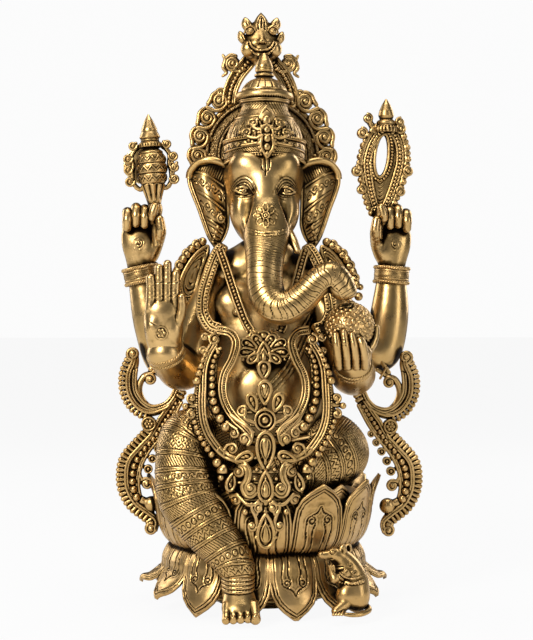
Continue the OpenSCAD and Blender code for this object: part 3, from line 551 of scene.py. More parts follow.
def petal(angle, spine, half, dome, thick, nu=65, nv=97):
    """A lotus petal. spine rows (r, z) from root to tip; half is the half-width; dome the bulge in mm."""
    sp = even_path(np.asarray(spine, float), 0.6)
    s = np.concatenate([[0], np.cumsum(np.linalg.norm(np.diff(sp, axis=0), axis=1))])
    length = s[-1]
    v = np.linspace(0, 1, nv) ** 0.97
    r = np.interp(v * length, s, sp[:, 0])
    z = np.interp(v * length, s, sp[:, 1])
    dr, dz = np.gradient(r), np.gradient(z)
    norm = unit(np.stack([dz, -dr], 1)) * (1.0 if dz.sum() > 0 else -1.0)
    u = np.linspace(-1, 1, nu)
    w = half * petal_outline(v)
    uu = np.sign(u) * (1 - (1 - np.abs(u)) ** 1.15)
    x = w[:, None] * uu[None, :]
    along = np.repeat((v * length)[:, None], nu, 1)
    taper = np.minimum(1, w / half + 0.1)[:, None]
    bulge = dome * taper * (1 - np.abs(uu[None, :]) ** 2.4)
    # relief from the edge inwards: a rolled rim, a groove, a faint ridge and a fine line
    edge = np.stack([w, v * length], 1)
    inner = np.minimum(seg_distance(np.abs(x), along, edge), 30)
    relief = 0.9 * line_cut(inner - 1.2, 1.0) - 0.9 * line_cut(inner - 3.1, 0.55)
    relief += 0.25 * line_cut(inner - 4.6, 0.7) - 0.75 * line_cut(inner - 6.0, 0.5)
    # the motif, drawn on both halves: a double stem with a curl on its top, under a pointed arch
    k = half / 24.0
    h = 0.46 * length
    stems = (
        [[12.0, 5.0], [12.4, -3], [10.8, -11], [10.8, -19], [13.2, -28]],
        [[4.2, 2.6], [6.2, -4], [5.4, -12], [4.8, -20], [6.8, -29]],
        [[0.3, 17], [3.0, 12.0], [7.6, 9.6]],
    )
    lines = [curl((7.6 * k, h + 5.0 * k), 4.4 * k, 1.3, 0, 1)]
    for stem, n in zip(stems, (36, 36, 16)):
        lines.append(smooth_path([[a * k, h + b * k] for a, b in stem], n))
    for line in lines:
        line = even_path(line, 0.9)
        dist = np.minimum(seg_distance(x, along, line), seg_distance(-x, along, line))
        relief -= 0.95 * line_cut(dist, 0.78)
        relief += 0.28 * line_cut(dist - 1.8, 0.6)
    relief *= np.clip((1 - v) * 14, 0, 1)[:, None]

    def sheet(width, out):
        return np.stack([width, -(r[:, None] + norm[:, 0:1] * out), z[:, None] + norm[:, 1:2] * out], -1)

    front = sheet(x, bulge + relief)
    back = sheet(x * 0.985, bulge - thick * (0.45 + 0.55 * (1 - np.abs(u[None, :]) ** 4)))
    v, f = closed_sheet(front, back)
    a = math.radians(angle)
    m = np.array([[math.cos(a), -math.sin(a), 0], [math.sin(a), math.cos(a), 0], [0, 0, 1]])
    return v @ m.T, f


BASE_PETALS, BASE_TURN = 14, 13.0
SEAT_PETALS, SEAT_TURN = 12, 26.0
base_heap = Heap()
for k in range(BASE_PETALS):
    a = BASE_TURN + k * 360 / BASE_PETALS
    # the petals at both sides reach further out and curl up more
    side = abs(math.sin(math.radians(a)))
    reach = 118.5 + 14 * side**3
    tip = 22 * side**5
    base_heap.add(petal(a, [
        [83, 63.0], [91, 63.2], [98.5, 59], [103.5, 50], [106, 38],
        [0.5 * (106 + reach) + 0.5, 0.5 * (38 + tip) - 2], [reach - 3.0, tip + 5], [reach, tip + 0.6],
    ], 26.0, 5.0, 4.0))
piece("base_petals", base_heap.mesh(), ["lotus_base"], "lotus_brass", "lotus")

lathe_piece("seat_bowl", [
    [0, 62.2], [91, 62.2], [92.5, 64], [94, 70], [97.5, 84], [101, 100], [104, 112], [104.5, 116],
    [102, 118.4],
    [0, 118.4],
], [], "lotus_brass", n=120)
seat_heap = Heap()
for k in range(SEAT_PETALS):
    seat_heap.add(petal(SEAT_TURN + k * 360 / SEAT_PETALS, [
        [90.5, 63.5], [97, 67], [104.5, 76], [109.5, 90], [111.8, 104], [115, 117], [120.5, 128],
        [125.5, 135],
    ], 29.5, 4.6, 4.0))
for k in range(SEAT_PETALS):
    seat_heap.add(petal(SEAT_TURN + 15 + k * 360 / SEAT_PETALS, [
        [89, 70], [95, 82], [101.5, 98], [105.5, 112], [110, 124], [115, 132.5],
    ], 25.0, 4.0, 3.0, nu=41, nv=65))
piece("seat_petals", seat_heap.mesh(), ["lotus_seat"], "lotus_brass", "lotus")

lathe_piece("closing_plate", [
    [0, 0.0], [48.5, 0.0], [50, 0.8], [50.5, 3], [77.4, 11], [78, 11.6], [78, 13.4], [77.4, 13.9], [0, 13.9],
], ["base_plate"], "closing_plate", shade="plate", relief=lambda a, z, r: 0.12 * np.cos(r * 4.4))


# ---------------------------------------------------------------- cloth and limbs
def along_limb(v, stations, n=90):
    """Each vertex's distance along a limb, its angle round it and its distance from the limb's axis."""
    p = smooth_path(stations, n)
    s = np.concatenate([[0], np.cumsum(np.linalg.norm(np.diff(p[:, :3], axis=0), axis=1))])
    best, at = np.full(len(v), 1e9), np.zeros(len(v), int)
    for i in range(n):
        d = ((v - p[i, :3]) ** 2).sum(1)
        near = d < best
        best[near], at[near] = d[near], i
    t = unit(np.gradient(p[:, :3], axis=0))
    ref = np.array([0.0, 0.0, 1.0]) if abs(t[:, 2].mean()) < 0.7 else np.array([0.0, -1.0, 0.0])
    side = unit(np.cross(t, ref))
    up = np.cross(side, t)
    off = v - p[at, :3]
    extra = (off * t[at]).sum(1)
    return s[at] + extra, np.arctan2((off * side[at]).sum(1), (off * up[at]).sum(1)), np.sqrt(best)


def wave_to(x, period):
    """Distance to the nearest multiple of period."""
    return np.abs((x / period + 0.5) % 1 - 0.5) * period


def cloth(s, a, r, pitch=15.0, turns=0.0):
    """Bands of worked cloth across a limb: raised borders with hatching, rings or zigzags between."""
    w = s + turns * a
    band = np.floor(w / pitch)
    q = w - band * pitch
    edge = np.minimum(q, pitch - q)
    u = a * r
    h = 0.55 * line_cut(edge - 1.0, 0.7) - 0.7 * line_cut(edge - 2.4, 0.42)
    inside = np.clip((edge - 3.0) * 2, 0, 1)
    kind = band % 3
    zig = np.abs((u / 7.0) % 1 - 0.5) * 7.0 + (q - pitch / 2) * 0.75
    fill_a = -0.65 * line_cut(wave_to(u + 0.6 * q, 3.1), 0.5)
    fill_b = -0.7 * line_cut(wave_to(zig, 3.5), 0.5)
    ring = np.hypot(wave_to(u, 8.0), q - pitch / 2)
    fill_c = -0.75 * line_cut(ring - 2.9, 0.5) + 0.5 * np.exp(-(ring / 1.3) ** 2)
    return h + inside * np.where(kind == 0, fill_a, np.where(kind == 1, fill_c, fill_b))


def displaced(mesh, amount):
    """The mesh with each vertex moved out along its normal by amount(v, n)."""
    v, f = mesh
    n = normals_of(v, f)
    return v + n * amount(v, n)[:, None], f


RIGHT_LEG = [
    [-26, -30, 152, 32, 30, 30], [-64, -60, 178, 37, 34, 33], [-84, -74, 166, 29, 30, 32],
    [-80, -88, 122, 32, 29, 30],
    [-57, -100, 87, 25.5, 23, 25], [-38, -109, 62, 19.5, 18, 16], [-33, -113, 49, 15.6, 14.2, 7],
]
LEFT_LEG = [
    [28, -22, 158, 34, 34, 34], [60, -38, 168, 38, 36, 36], [68, -44, 158, 36, 36, 30],
    [36, -72, 146, 28, 24, 24],
    [-4, -88, 140, 16, 14, 16],
]


def leg(name, stations, node, low, high, pitch, turns):
    c = Clay(low, high, 0.75)
    c.limb(stations, 26, 5)

    def amount(v, n):
        s, a, r = along_limb(v, stations)
        return cloth(s, a, r, pitch, turns)

    piece(name, displaced(c.mesh(), amount), [node], "engraved_brass", "ornament")


leg("right_leg_cloth", RIGHT_LEG, "right_leg", (-122, -142, 34), (10, 6, 222), 15.5, 3.0)
leg("left_leg_cloth", LEFT_LEG, "left_leg", (-28, -112, 108), (110, 18, 210), 14.5, 2.0)


def foot(name, stations, node, toes, toe_r, low, high, rings, nail_dir):
    """A foot with toes (root, tip), and ankle rings (centre, radii)."""
    c = Clay(low, high, 0.5)
    c.limb(stations, 14, 4)
    n = unit(nail_dir)
    for (a, b), r in zip(toes, toe_r):
        a, b = np.array(a, float), np.array(b, float)
        mid = (a + b) / 2
        c.rod(a, mid, r, r * 0.92, 1.6)
        c.rod(mid, b, r * 0.86, r * 0.98, 0.8)
        c.ball(b + n * r * 0.75 + unit(b - a) * r * 0.25, [r * 0.62, r * 0.5, r * 0.62], 0.3)
    a = np.linspace(0, 2 * PI, 33)
    for centre, (rx, ry) in rings:
        path = [centre[0] + rx * np.cos(a), centre[1] + ry * np.sin(a), centre[2] + 1.5 * np.sin(a)]
        c.cord(np.stack(path, 1), 1.9, 0.6)
    piece(name, c.mesh(), [node], "skin_brass")


foot("right_foot_body", [
    [-32.5, -112, 48, 13.2, 13.4, 10], [-32, -113, 37, 12.4, 12.8, 8], [-31.5, -121, 24, 15.2, 12.5, 8],
    [-31, -130, 14.5, 17.2, 11, 7],
], "right_foot",
    [([-44.5 + 6.8 * k, -131, 19.5], [-45.5 + 7.2 * k, -143.0, 8.8 - 0.5 * abs(k - 3)]) for k in range(5)],
    [4.1, 4.3, 4.4, 4.5, 5.6], (-64, -156, -1), (2, -90, 64),
    [((-32.4, -112.4 - 0.5 * k, 45.5 - 3.9 * k), (15.0 - 0.1 * k, 15.6 + 0.5 * k)) for k in range(4)],
    [0, -0.5, 0.8])
foot("left_foot_body", [
    [-18, -91, 138, 13, 11, 13], [-30, -94, 137, 13, 9, 13], [-40, -94, 138, 9, 6, 10],
], "left_foot",
    [([-42, -94, 128 + 4.8 * k], [-49.5, -95, 128.6 + 4.6 * k]) for k in range(5)],
    [2.6, 2.6, 2.7, 2.9, 3.6], (-62, -112, 114), (4, -72, 160), [], [-0.2, -0.9, 0.2])


def arm(name, stations, low, high):
    """A bare arm. Its name is the CAD node's name and _skin."""
    c = Clay(low, high, 0.8)
    c.limb(stations, 30, 6)
    piece(name + "_skin", c.mesh(), [name], "skin_brass")


arm("right_front_arm", [
    [-56, -6, 334, 22, 21, 22], [-74, -22, 288, 20, 20, 22], [-86, -34, 250, 21, 21, 20],
    [-98, -62, 258, 18, 18, 17],
    [-106, -80, 268, 16, 15, 14],
], (-134, -106, 220), (-26, 24, 364))
arm("left_front_arm", [
    [56, -6, 334, 22, 21, 22], [76, -22, 288, 20, 20, 22], [91, -36, 246, 21, 21, 20],
    [90, -60, 248, 18, 17, 17],
    [88, -76, 255, 15, 13, 13],
], (26, -98, 216), (120, 24, 364))
arm("right_rear_arm", [
    [-56, 12, 336, 19, 17, 20], [-82, 16, 294, 19, 18, 20], [-104, 18, 258, 19, 18, 19],
    [-120, 18, 298, 18, 17, 20],
    [-132, 18, 352, 13.5, 12.5, 8],
], (-156, -10, 230), (-30, 42, 366))
arm("left_rear_arm", [
    [56, 12, 336, 19, 17, 20], [94, 16, 296, 19, 18, 20], [127, 18, 264, 18, 17, 18],
    [138, 18, 302, 19, 17, 22],
    [141, 18, 352, 14, 12.5, 8],
], (30, -10, 238), (166, 42, 366))


# ---------------------------------------------------------------- bracelets
def ring_frame(axis):
    d = unit(axis)
    e1 = unit(np.cross(d, [0, 1, 0.15]))
    return d, e1, np.cross(d, e1)


def bracelet(name, centre, axis, r, height, stretch=1.0):
    """Two rope rings with a hatched band between them. The name is the CAD node's name and _rope."""
    d, e1, e2 = ring_frame(axis)
    c0 = np.asarray(centre, float)
    heap = Heap()
    half = height / 2
    m = np.stack([e1, e2, d], 1)

    def relief(a, z, rr):
        zig = np.abs(((a * 16 / PI) % 1) - 0.5) * 6
        return np.where(np.abs(z) < half - 4.4, -0.55 * line_cut(wave_to(zig + z, 3.0), 0.5), 0)

    prof = [[0, 2 - half], [r - 2.6, 2 - half], [r + 0.4, 2 - half], [r + 1.2, 4.5 - half], [r + 1.7, 0],
            [r + 1.2, half - 4.5], [r + 0.4, half - 2], [r - 2.6, half - 2], [0, half - 2]]
    v, f = lathe(prof, [0, 0, 0], 128, relief, step=0.6)
    v[:, 0] *= stretch
    heap.add((v @ m.T + c0, f))
    a = np.linspace(0, 2 * PI, 97)[:-1]
    for s in (-1, 1):
        for strand in range(3):
            twist = a * 13 + strand * 2 * PI / 3
            rad = (r + 0.7) + 1.15 * np.cos(twist)
            high = s * (half - 1.8) + 1.15 * np.sin(twist)
            p = np.stack([rad * np.cos(a) * stretch, rad * np.sin(a), high], 1) @ m.T + c0
            heap.add(ribbon(p, lambda q: unit(q - c0), round_section(1.15, 6), step=1.1, closed=True))
        inset = 5.2 if height > 12 else 1.8
        heap.add(ring_tube(c0 + d * s * (half - inset), m, r + 1.0, 0.9, stretch))
    piece(name + "_rope", heap.mesh(), [name], "ornament_brass", "ornament")


def ring_tube(centre, m, r, wire, stretch=1.0, n=72, k=8):
    """A plain round wire bent into a ring."""
    a, b = np.linspace(0, 2 * PI, n, endpoint=False), np.linspace(0, 2 * PI, k, endpoint=False)
    rr = r + wire * np.cos(b)[None, :]
    high = np.repeat(wire * np.sin(b)[None, :], n, 0)
    v = np.stack([rr * np.cos(a)[:, None] * stretch, rr * np.sin(a)[:, None], high], -1)
    return v.reshape(-1, 3) @ np.asarray(m).T + centre, grid_faces(n, k, wrap_rows=True, wrap_cols=True)


bracelet("right_front_bracelet", (-104, -76, 266), (-6, -10, 14), 17.5, 9.5)
bracelet("left_front_bracelet", (88, -72, 253.5), (-2, -14, 9), 16.5, 9.5, 1.08)
bracelet("right_rear_bracelet", (-131.5, 18, 350), (-12, 0, 54), 17.5, 19)
bracelet("left_rear_bracelet", (140.9, 18, 350), (3, 0, 50), 17.5, 19)


# ---------------------------------------------------------------- hands
def finger(c, points, r, joint=0.12, nail=None):
    """A finger through its joints, thinning to the tip and waisted between the joints."""
    p = smooth_path(points, 3 * len(points))
    thin = 1 - 0.20 * np.linspace(0, 1, len(p)) ** 1.5
    waist = 1 - np.cos(np.linspace(0, 2 * PI * (len(points) - 1), len(p)))
    rr = r * thin - joint * waist
    c.cord(np.column_stack([p, rr]), r, 1.0)
    if nail is not None:
        c.ball(p[-1] + unit(nail) * rr[-1] * 0.7, [rr[-1] * 0.55, rr[-1] * 0.35, rr[-1] * 0.7], 0.2)


def crease(c, pts, depth=0.55):
    c.cord(pts, depth, 0.5, cut=True)


def right_open_hand():
    c = Clay((-134, -108, 256), (-78, -62, 372), 0.5)
    c.limb([[-104, -76, 266, 15, 14, 13], [-106, -82, 280, 17.5, 12.5, 12], [-107, -85, 296, 19, 10.5, 14],
            [-107, -88, 312, 18, 8.6, 12]], 12, 3)
    for k, top in enumerate((348, 358, 362, 352)):
        x = -119 + 8.0 * k
        finger(c, [[x + 0.6 * (k - 1.5), -89, 312], [x, -89.6, 326], [x + 0.2 * (k - 1.5), -90.4, 340],
                   [x + 0.5 * (k - 1.5), -91, top - 4.6]], 5.5, joint=0.15)
        for z in (325, 339 if k else 336):
            crease(c, [[x - 3.4, -94.6, z], [x, -95.9, z - 0.4], [x + 3.4, -94.6, z]], 0.62)
    c.ball([-96.5, -88, 292], [8, 8.5, 12], 5)
    finger(c, [[-94, -90, 294], [-89.5, -92, 306], [-88, -93, 315], [-88.5, -94.5, 324]], 5.0)
    c.ball([-117, -90, 294], [7, 6.5, 12], 4)
    crease(c, [[-119, -97, 306], [-110, -98.4, 303], [-99, -97.4, 308]], 0.6)
    crease(c, [[-100, -98, 302], [-101, -98.5, 290], [-106, -97.5, 280]], 0.6)
    crease(c, [[-119.5, -96, 298], [-112, -97.6, 295], [-104, -98.2, 299]], 0.5)
    # a small raised rosette in the palm
    c.cord(c.front_rows(ring_rows(-109, 288, 6.2, 29), 0.1), 0.5, 0.2)
    for x, z in ring_rows(-109, 288, 3.2, 7)[:-1]:
        c.ball([x, c.front(x, z) - 0.1, z], [1.4, 0.7, 1.4], 0.3)
    return c.mesh()


piece("right_front_hand_skin", right_open_hand(), ["right_front_hand"], "skin_brass")


def left_cup_hand():
    c = Clay((58, -122, 244), (122, -62, 318), 0.5)
    c.limb([[88, -74, 255, 14.5, 13, 12], [87, -82, 262, 17.5, 13, 11.5], [85.5, -92, 269, 18, 10, 11.5]], 10,
           3)
    for k in range(4):
        tip = 289 - 3 * abs(k - 1)
        finger(c, [[70 + 8.9 * k, -96, 254], [68.6 + 9.0 * k, -104, 265], [67.2 + 8.7 * k, -107.6, 276],
                   [66.0 + 8.3 * k, -106.6, tip - 2 * (k == 3)]], 4.45, nail=[0, -1, 0.1])
        x = 68.6 + 8.9 * k
        crease(c, [[x - 2.4, -111.4, 268], [x, -112.2, 267.7], [x + 2.4, -111.4, 268]], 0.4)
    finger(c, [[100, -88, 268], [106, -85, 277], [109, -83.5, 285], [109.8, -82.5, 293]], 5.0)
    return c.mesh()


piece("left_front_hand_skin", left_cup_hand(), ["left_front_hand"], "skin_brass")


def rear_hand(side, wrist, stem):
    """A raised hand seen from the palm: three fingers folded down, the fourth and the thumb hold the stem."""
    c = Clay((min(wrist[0], stem[0]) - 26, wrist[1] - 42, wrist[2] - 10),
             (max(wrist[0], stem[0]) + 26, wrist[1] + 22, wrist[2] + 84), 0.5)
    w = np.array(wrist, float)
    c.limb([[*(w + [0, 0, 2]), 13, 12, 10], [*(w + [side * 0.5, -1.5, 16]), 15, 11.5, 12],
            [*(w + [side * 1.5, -3, 30]), 18, 10.5, 13], [*(w + [side * 2.0, -3.5, 42]), 18, 9, 11]], 12, 3)
    for k in range(3):
        x = w[0] + side * (14.0 - 9.3 * k)
        top = w[2] + 64 + 3.0 * (k > 0) + 1.5 * (k == 1)
        y = w[1]
        finger(c, [[x, y - 2, w[2] + 44], [x, y - 4, w[2] + 54], [x, y - 9, top], [x, y - 16, top - 1],
                   [x, y - 19.5, top - 8], [x, y - 18, top - 16]], 5.9, joint=0.15)
        crease(c, [[x - 4, y - 14.6, top + 3.8], [x, y - 12.5, top + 4.9], [x + 4, y - 14.6, top + 3.8]],
               0.45)
    x0 = w[0] - side * 12
    sx, sy = stem
    finger(c, [[x0, w[1] - 3, w[2] + 34], [x0 - side * 2.5, w[1] - 6, w[2] + 48],
               [sx + side * 4.5, sy - 8, w[2] + 60],
               [sx + side * 2.0, sy - 9.5, w[2] + 70]], 5.6)
    finger(c, [[w[0] - side * 11, w[1] - 6, w[2] + 18], [w[0] - side * 18, w[1] - 9, w[2] + 30],
               [sx - side * 4.5, sy - 7.5, w[2] + 43], [sx - side * 3.0, sy - 9, w[2] + 56]], 6.0)
    c.ball(w + [-side * 10, -6, 24], [9.5, 9, 14], 6)
    # a raised ring and a curl in the palm
    cx, cz = w[0] + side * 2.5, w[2] + 31
    for x, z in ring_rows(cx, cz, 6.5, 30):
        c.ball([x, c.front(x, z), z], [0.8, 0.5, 0.8], 0.3)
    c.cord(c.front_rows(curl((cx, cz), 4.4, 1.2, 90, side), 0.1), 0.55, 0.3)
    crease(c, [w + [-13, -13.8, 45], w + [0, -13.8, 44], w + [14, -13.6, 46]], 0.6)
    return c.mesh()


piece("right_rear_hand_skin", rear_hand(-1, (-132, 18, 352), (-114.4, 4)), ["right_rear_hand"], "skin_brass")
piece("left_rear_hand_skin", rear_hand(1, (141, 18, 352), (124, 1)), ["left_rear_hand"], "skin_brass")


# ---------------------------------------------------------------- the sweet in the left palm
NUTS = 240
GOLDEN_ANGLE = 2.399963


def sweet():
    heap = Heap()
    c = Clay((54, -112, 264), (114, -52, 326), 0.6)
    mid = np.array([83, -82, 294.0])
    c.ball(mid, 24.6)
    heap.add(c.mesh())
    # nuts packed all over it but for the hidden back, each turned its own way
    for k in range(NUTS):
        up = 1 - 2 * (k + 0.5) / NUTS
        lon = k * GOLDEN_ANGLE
        flat = math.sqrt(1 - up * up)
        n = v3(math.cos(lon) * flat, math.sin(lon) * flat, up)
        if n[1] > 0.75:
            continue
        spin = 1.3 * k
        e0 = unit(np.cross(n, [0.1, 0.3, 1]))
        e1 = e0 * math.cos(spin) + np.cross(n, e0) * math.sin(spin)
        m = np.stack([e1, np.cross(n, e1), n], 1)
        grow = 0.9 + 0.16 * math.sin(k * 2.3)
        v, f = sphere_mesh([0, 0, 0], [3.7 * grow, 2.5 * grow, 2.1], 14, 8)
        heap.add((v @ m.T + mid + n * 23.9, f))
    return heap.mesh()


piece("sweet_ball", sweet(), ["modak"], "engraved_brass", "ornament")


# ---------------------------------------------------------------- head and trunk
TRUNK = [
    [0, -50, 408, 24, 22, 20], [-1, -66, 386, 22, 18, 17], [-4, -82, 356, 17.5, 16, 16],
    [-3, -90, 330, 16.5, 15, 15],
    [5, -97, 315, 15, 14, 15], [18, -101, 313, 14, 13, 14], [34, -103, 324, 14, 12, 13],
    [50, -104, 341, 13, 11, 12],
    [63, -105, 346, 12, 10.5, 11.5], [71.5, -104.5, 337, 11.2, 10, 10.5], [75.5, -103.5, 328.5, 10.6, 9.5, 6],
]


def head_part():
    c = Clay((-62, -122, 288), (96, 34, 496), 0.62)
    c.limb([[-1, -9, 452, 42, 31.5, 38], [-1.5, -18, 450, 37.5, 36, 34], [-1.5, -23, 428, 35.5, 36, 30],
            [-1.5, -28, 408, 31, 34, 22], [-1, -36, 398, 25, 30, 20]], 22, 6)
    c.limb(TRUNK, 60, 5)
    c.rod([-1.5, -44, 452], [-1, -52, 416], 15, 19, 12)
    for s in (-1, 1):
        c.ball([s * 15.5 - 1.5, -40, 463], [21, 17.5, 18], 10)
        # the cheek, then a shallow hollow between it and the trunk's root
        c.ball([s * 25.5 - 1.5, -42, 416], [10, 14, 18], 8)
        c.ball([s * 19.5 - 1.5, -62, 412], [4.4, 3.2, 16], 8, cut=True)
        c.ball([s * 22.5 - 1.8, -61.0, 434.5], [11, 5.5, 7.5], 5, cut=True)
        ex, ey, ez = s * 22.2 - 1.8, -49.8, 435.0
        c.ball([ex, ey, ez], [8.2, 6.4, 5.0], 0.8)
        for lift, r in ((3.9, 1.25), (-3.3, 0.95)):
            t = np.linspace(-1, 1, 15)
            lid = [[ex + 9.0 * q, ey - 6.2 + 4.6 * q * q, ez + lift * (1 - q * q) - 0.9 * q] for q in t]
            c.cord(lid, r, 0.5)
        c.ball([ex - s * 0.6, ey - 6.2, ez], [2.5, 1.0, 2.5], 0.2)
        c.ball([ex - s * 0.6, ey - 7.3, ez], 0.95, 0.15, cut=True)
    return c


def brows(c):
    """Sweeping creases over each eye, from the bridge up and round to the temple, and lines under it."""
    for s in (-1, 1):
        ex, ez = s * 22.2 - 1.8, 435.0
        for q in range(3):
            rows = []
            for w in np.linspace(-1.0, 0.92, 22):
                drop = (3.4 if w < 0 else 1.5) * w * w * (1.0 + 0.25 * q)
                rise = (7.4 + 3.1 * q) * (1 - abs(w) ** 2.2)
                rows.append([ex + s * (10.5 + 1.9 * q) * w, ez + rise - drop])
            c.cord(c.front_rows(rows, -0.1), 0.85 - 0.08 * q, 0.8)
        for q in range(2):
            rows = []
            for w in np.linspace(-0.9, 0.9, 14):
                rows.append([ex + s * (9.6 + 1.5 * q) * w, ez - 5.8 - 2.4 * q + (1.5 + q) * w * w])
            c.cord(c.front_rows(rows, -0.35), 0.6, 0.7)


HEAD = head_part()
brows(HEAD)


def along_front(c, rows, r, k=0.4, lift=0.0, cut=False):
    """Draws a raised or sunk line over the clay's front at x-z rows."""
    path = c.front_rows(even_path(np.asarray(rows, float), 1.0)[:, :2], lift)
    if len(path) > 1:
        c.cord(path, r, k, cut=cut)


# plain strokes on the brow
for x in (-6.0, 2.5):
    along_front(HEAD, [[x, 467], [x, 460], [x + (1.5 if x < 0 else -1.5), 456], [-1.8, 454.6]], 0.55,
                cut=True)
along_front(HEAD, [[-1.8, 468], [-1.8, 450]], 0.55, cut=True)
# a double line across the trunk's root
for dz in (0, 3.0):
    along_front(HEAD, [[-20, 391 + dz], [-11, 388 + dz], [-1, 387 + dz], [9, 388 + dz], [18, 391 + dz]], 0.8)



# the flower on the trunk's root: eight looped petals drawn as lines round a ringed heart
for q in range(8):
    t0 = PI * q / 4
    loop = []
    for t in np.linspace(0, 2 * PI, 17):
        u, w = 8.0 + 4.6 * math.cos(t), 2.9 * math.sin(t)
        loop.append([-2.5 + u * math.cos(t0) - w * math.sin(t0), 408 + u * math.sin(t0) + w * math.cos(t0)])
    along_front(HEAD, loop, 0.62, 0.25, lift=0.1)
for r in (3.6, 1.4):
    along_front(HEAD, ring_rows(-2.5, 408, r, 17), 0.7, 0.25, lift=0.2)


def wrinkles(v, n):
    """Transverse folds on the front and sides of the trunk, ending in a line along its back."""
    s, a, r = along_limb(v, TRUNK, 120)
    wave = s + 1.6 * np.sin(a * 2.0) + 0.9 * np.sin(s * 0.31) + 0.5 * np.sin(a * 5.0 + s * 0.12)
    near_end = np.clip((s - 60) / 60, 0, 1)
    fold = -(0.30 + 0.22 * near_end) * line_cut(wave_to(wave, 4.6), 0.45) + 0.10 * np.cos(wave * 2 * PI / 4.6)
    fade = np.clip((s - 26) / 14, 0, 1) * np.clip((s - 10) / 10, 0, 1)
    under = (np.abs(a) < 2.35) * 1.0
    on_trunk = (r < 26) & (v[:, 2] < 392) & (v[:, 1] < -50)
    band = 0.5 * line_cut(np.abs(a) - 2.35, 0.07) * on_trunk
    return np.where(on_trunk, fold * fade * under + band, 0)


HEAD_V, HEAD_F = displaced(HEAD.mesh(), wrinkles)


def split(v, f, keep):
    """The faces whose centres satisfy keep, with their own vertices."""
    q = np.where(f[:, 3:4] < 0, f[:, 2:3], f[:, 3:4])
    mid = (v[f[:, 0]] + v[f[:, 1]] + v[f[:, 2]] + v[q[:, 0]]) / 4
    part = f[keep(mid)]
    used = np.unique(part[part >= 0])
    new = np.full(len(v) + 1, -1)
    new[used] = np.arange(len(used))
    return v[used], new[part]


def on_trunk_side(m):
    return (m[:, 2] < 387.5 + 0.25 * np.abs(m[:, 0])) & (m[:, 1] < -46 + (387 - m[:, 2]) * 0.1)


piece("head_face", split(HEAD_V, HEAD_F, lambda m: ~on_trunk_side(m)), ["head"], "skin_brass")
piece("trunk_skin", split(HEAD_V, HEAD_F, on_trunk_side), ["trunk"], "skin_brass")

# the one tusk, on the left side
tusk_path = even_path([[17, -48, 398], [22, -58, 390], [27, -67, 381], [30.5, -73, 372]], 0.8)
TUSK = Clay((8, -84, 362), (42, -38, 408), 0.45)
TUSK.cord(np.column_stack([tusk_path, np.linspace(7.2, 3.2, len(tusk_path))]), 5, 0.8)
piece("tusk_body", TUSK.mesh(), ["tusk"], "skin_brass")


# ---------------------------------------------------------------- ears
def scroll_fill(u, q):
    """A running wave of small scrolls in a band, as raised and sunk lines."""
    wave = q - 3.4 * np.sin(u * 2 * PI / 13.0)
    eye = np.hypot((u + 3.2) % 13.0 - 6.5, q + 2.6)
    eye = np.minimum(eye, np.hypot((u + 9.7) % 13.0 - 6.5, q - 2.6))
    return -0.9 * line_cut(wave, 0.7) - 0.7 * line_cut(eye - 2.1, 0.5) + 0.6 * line_cut(eye, 0.9)


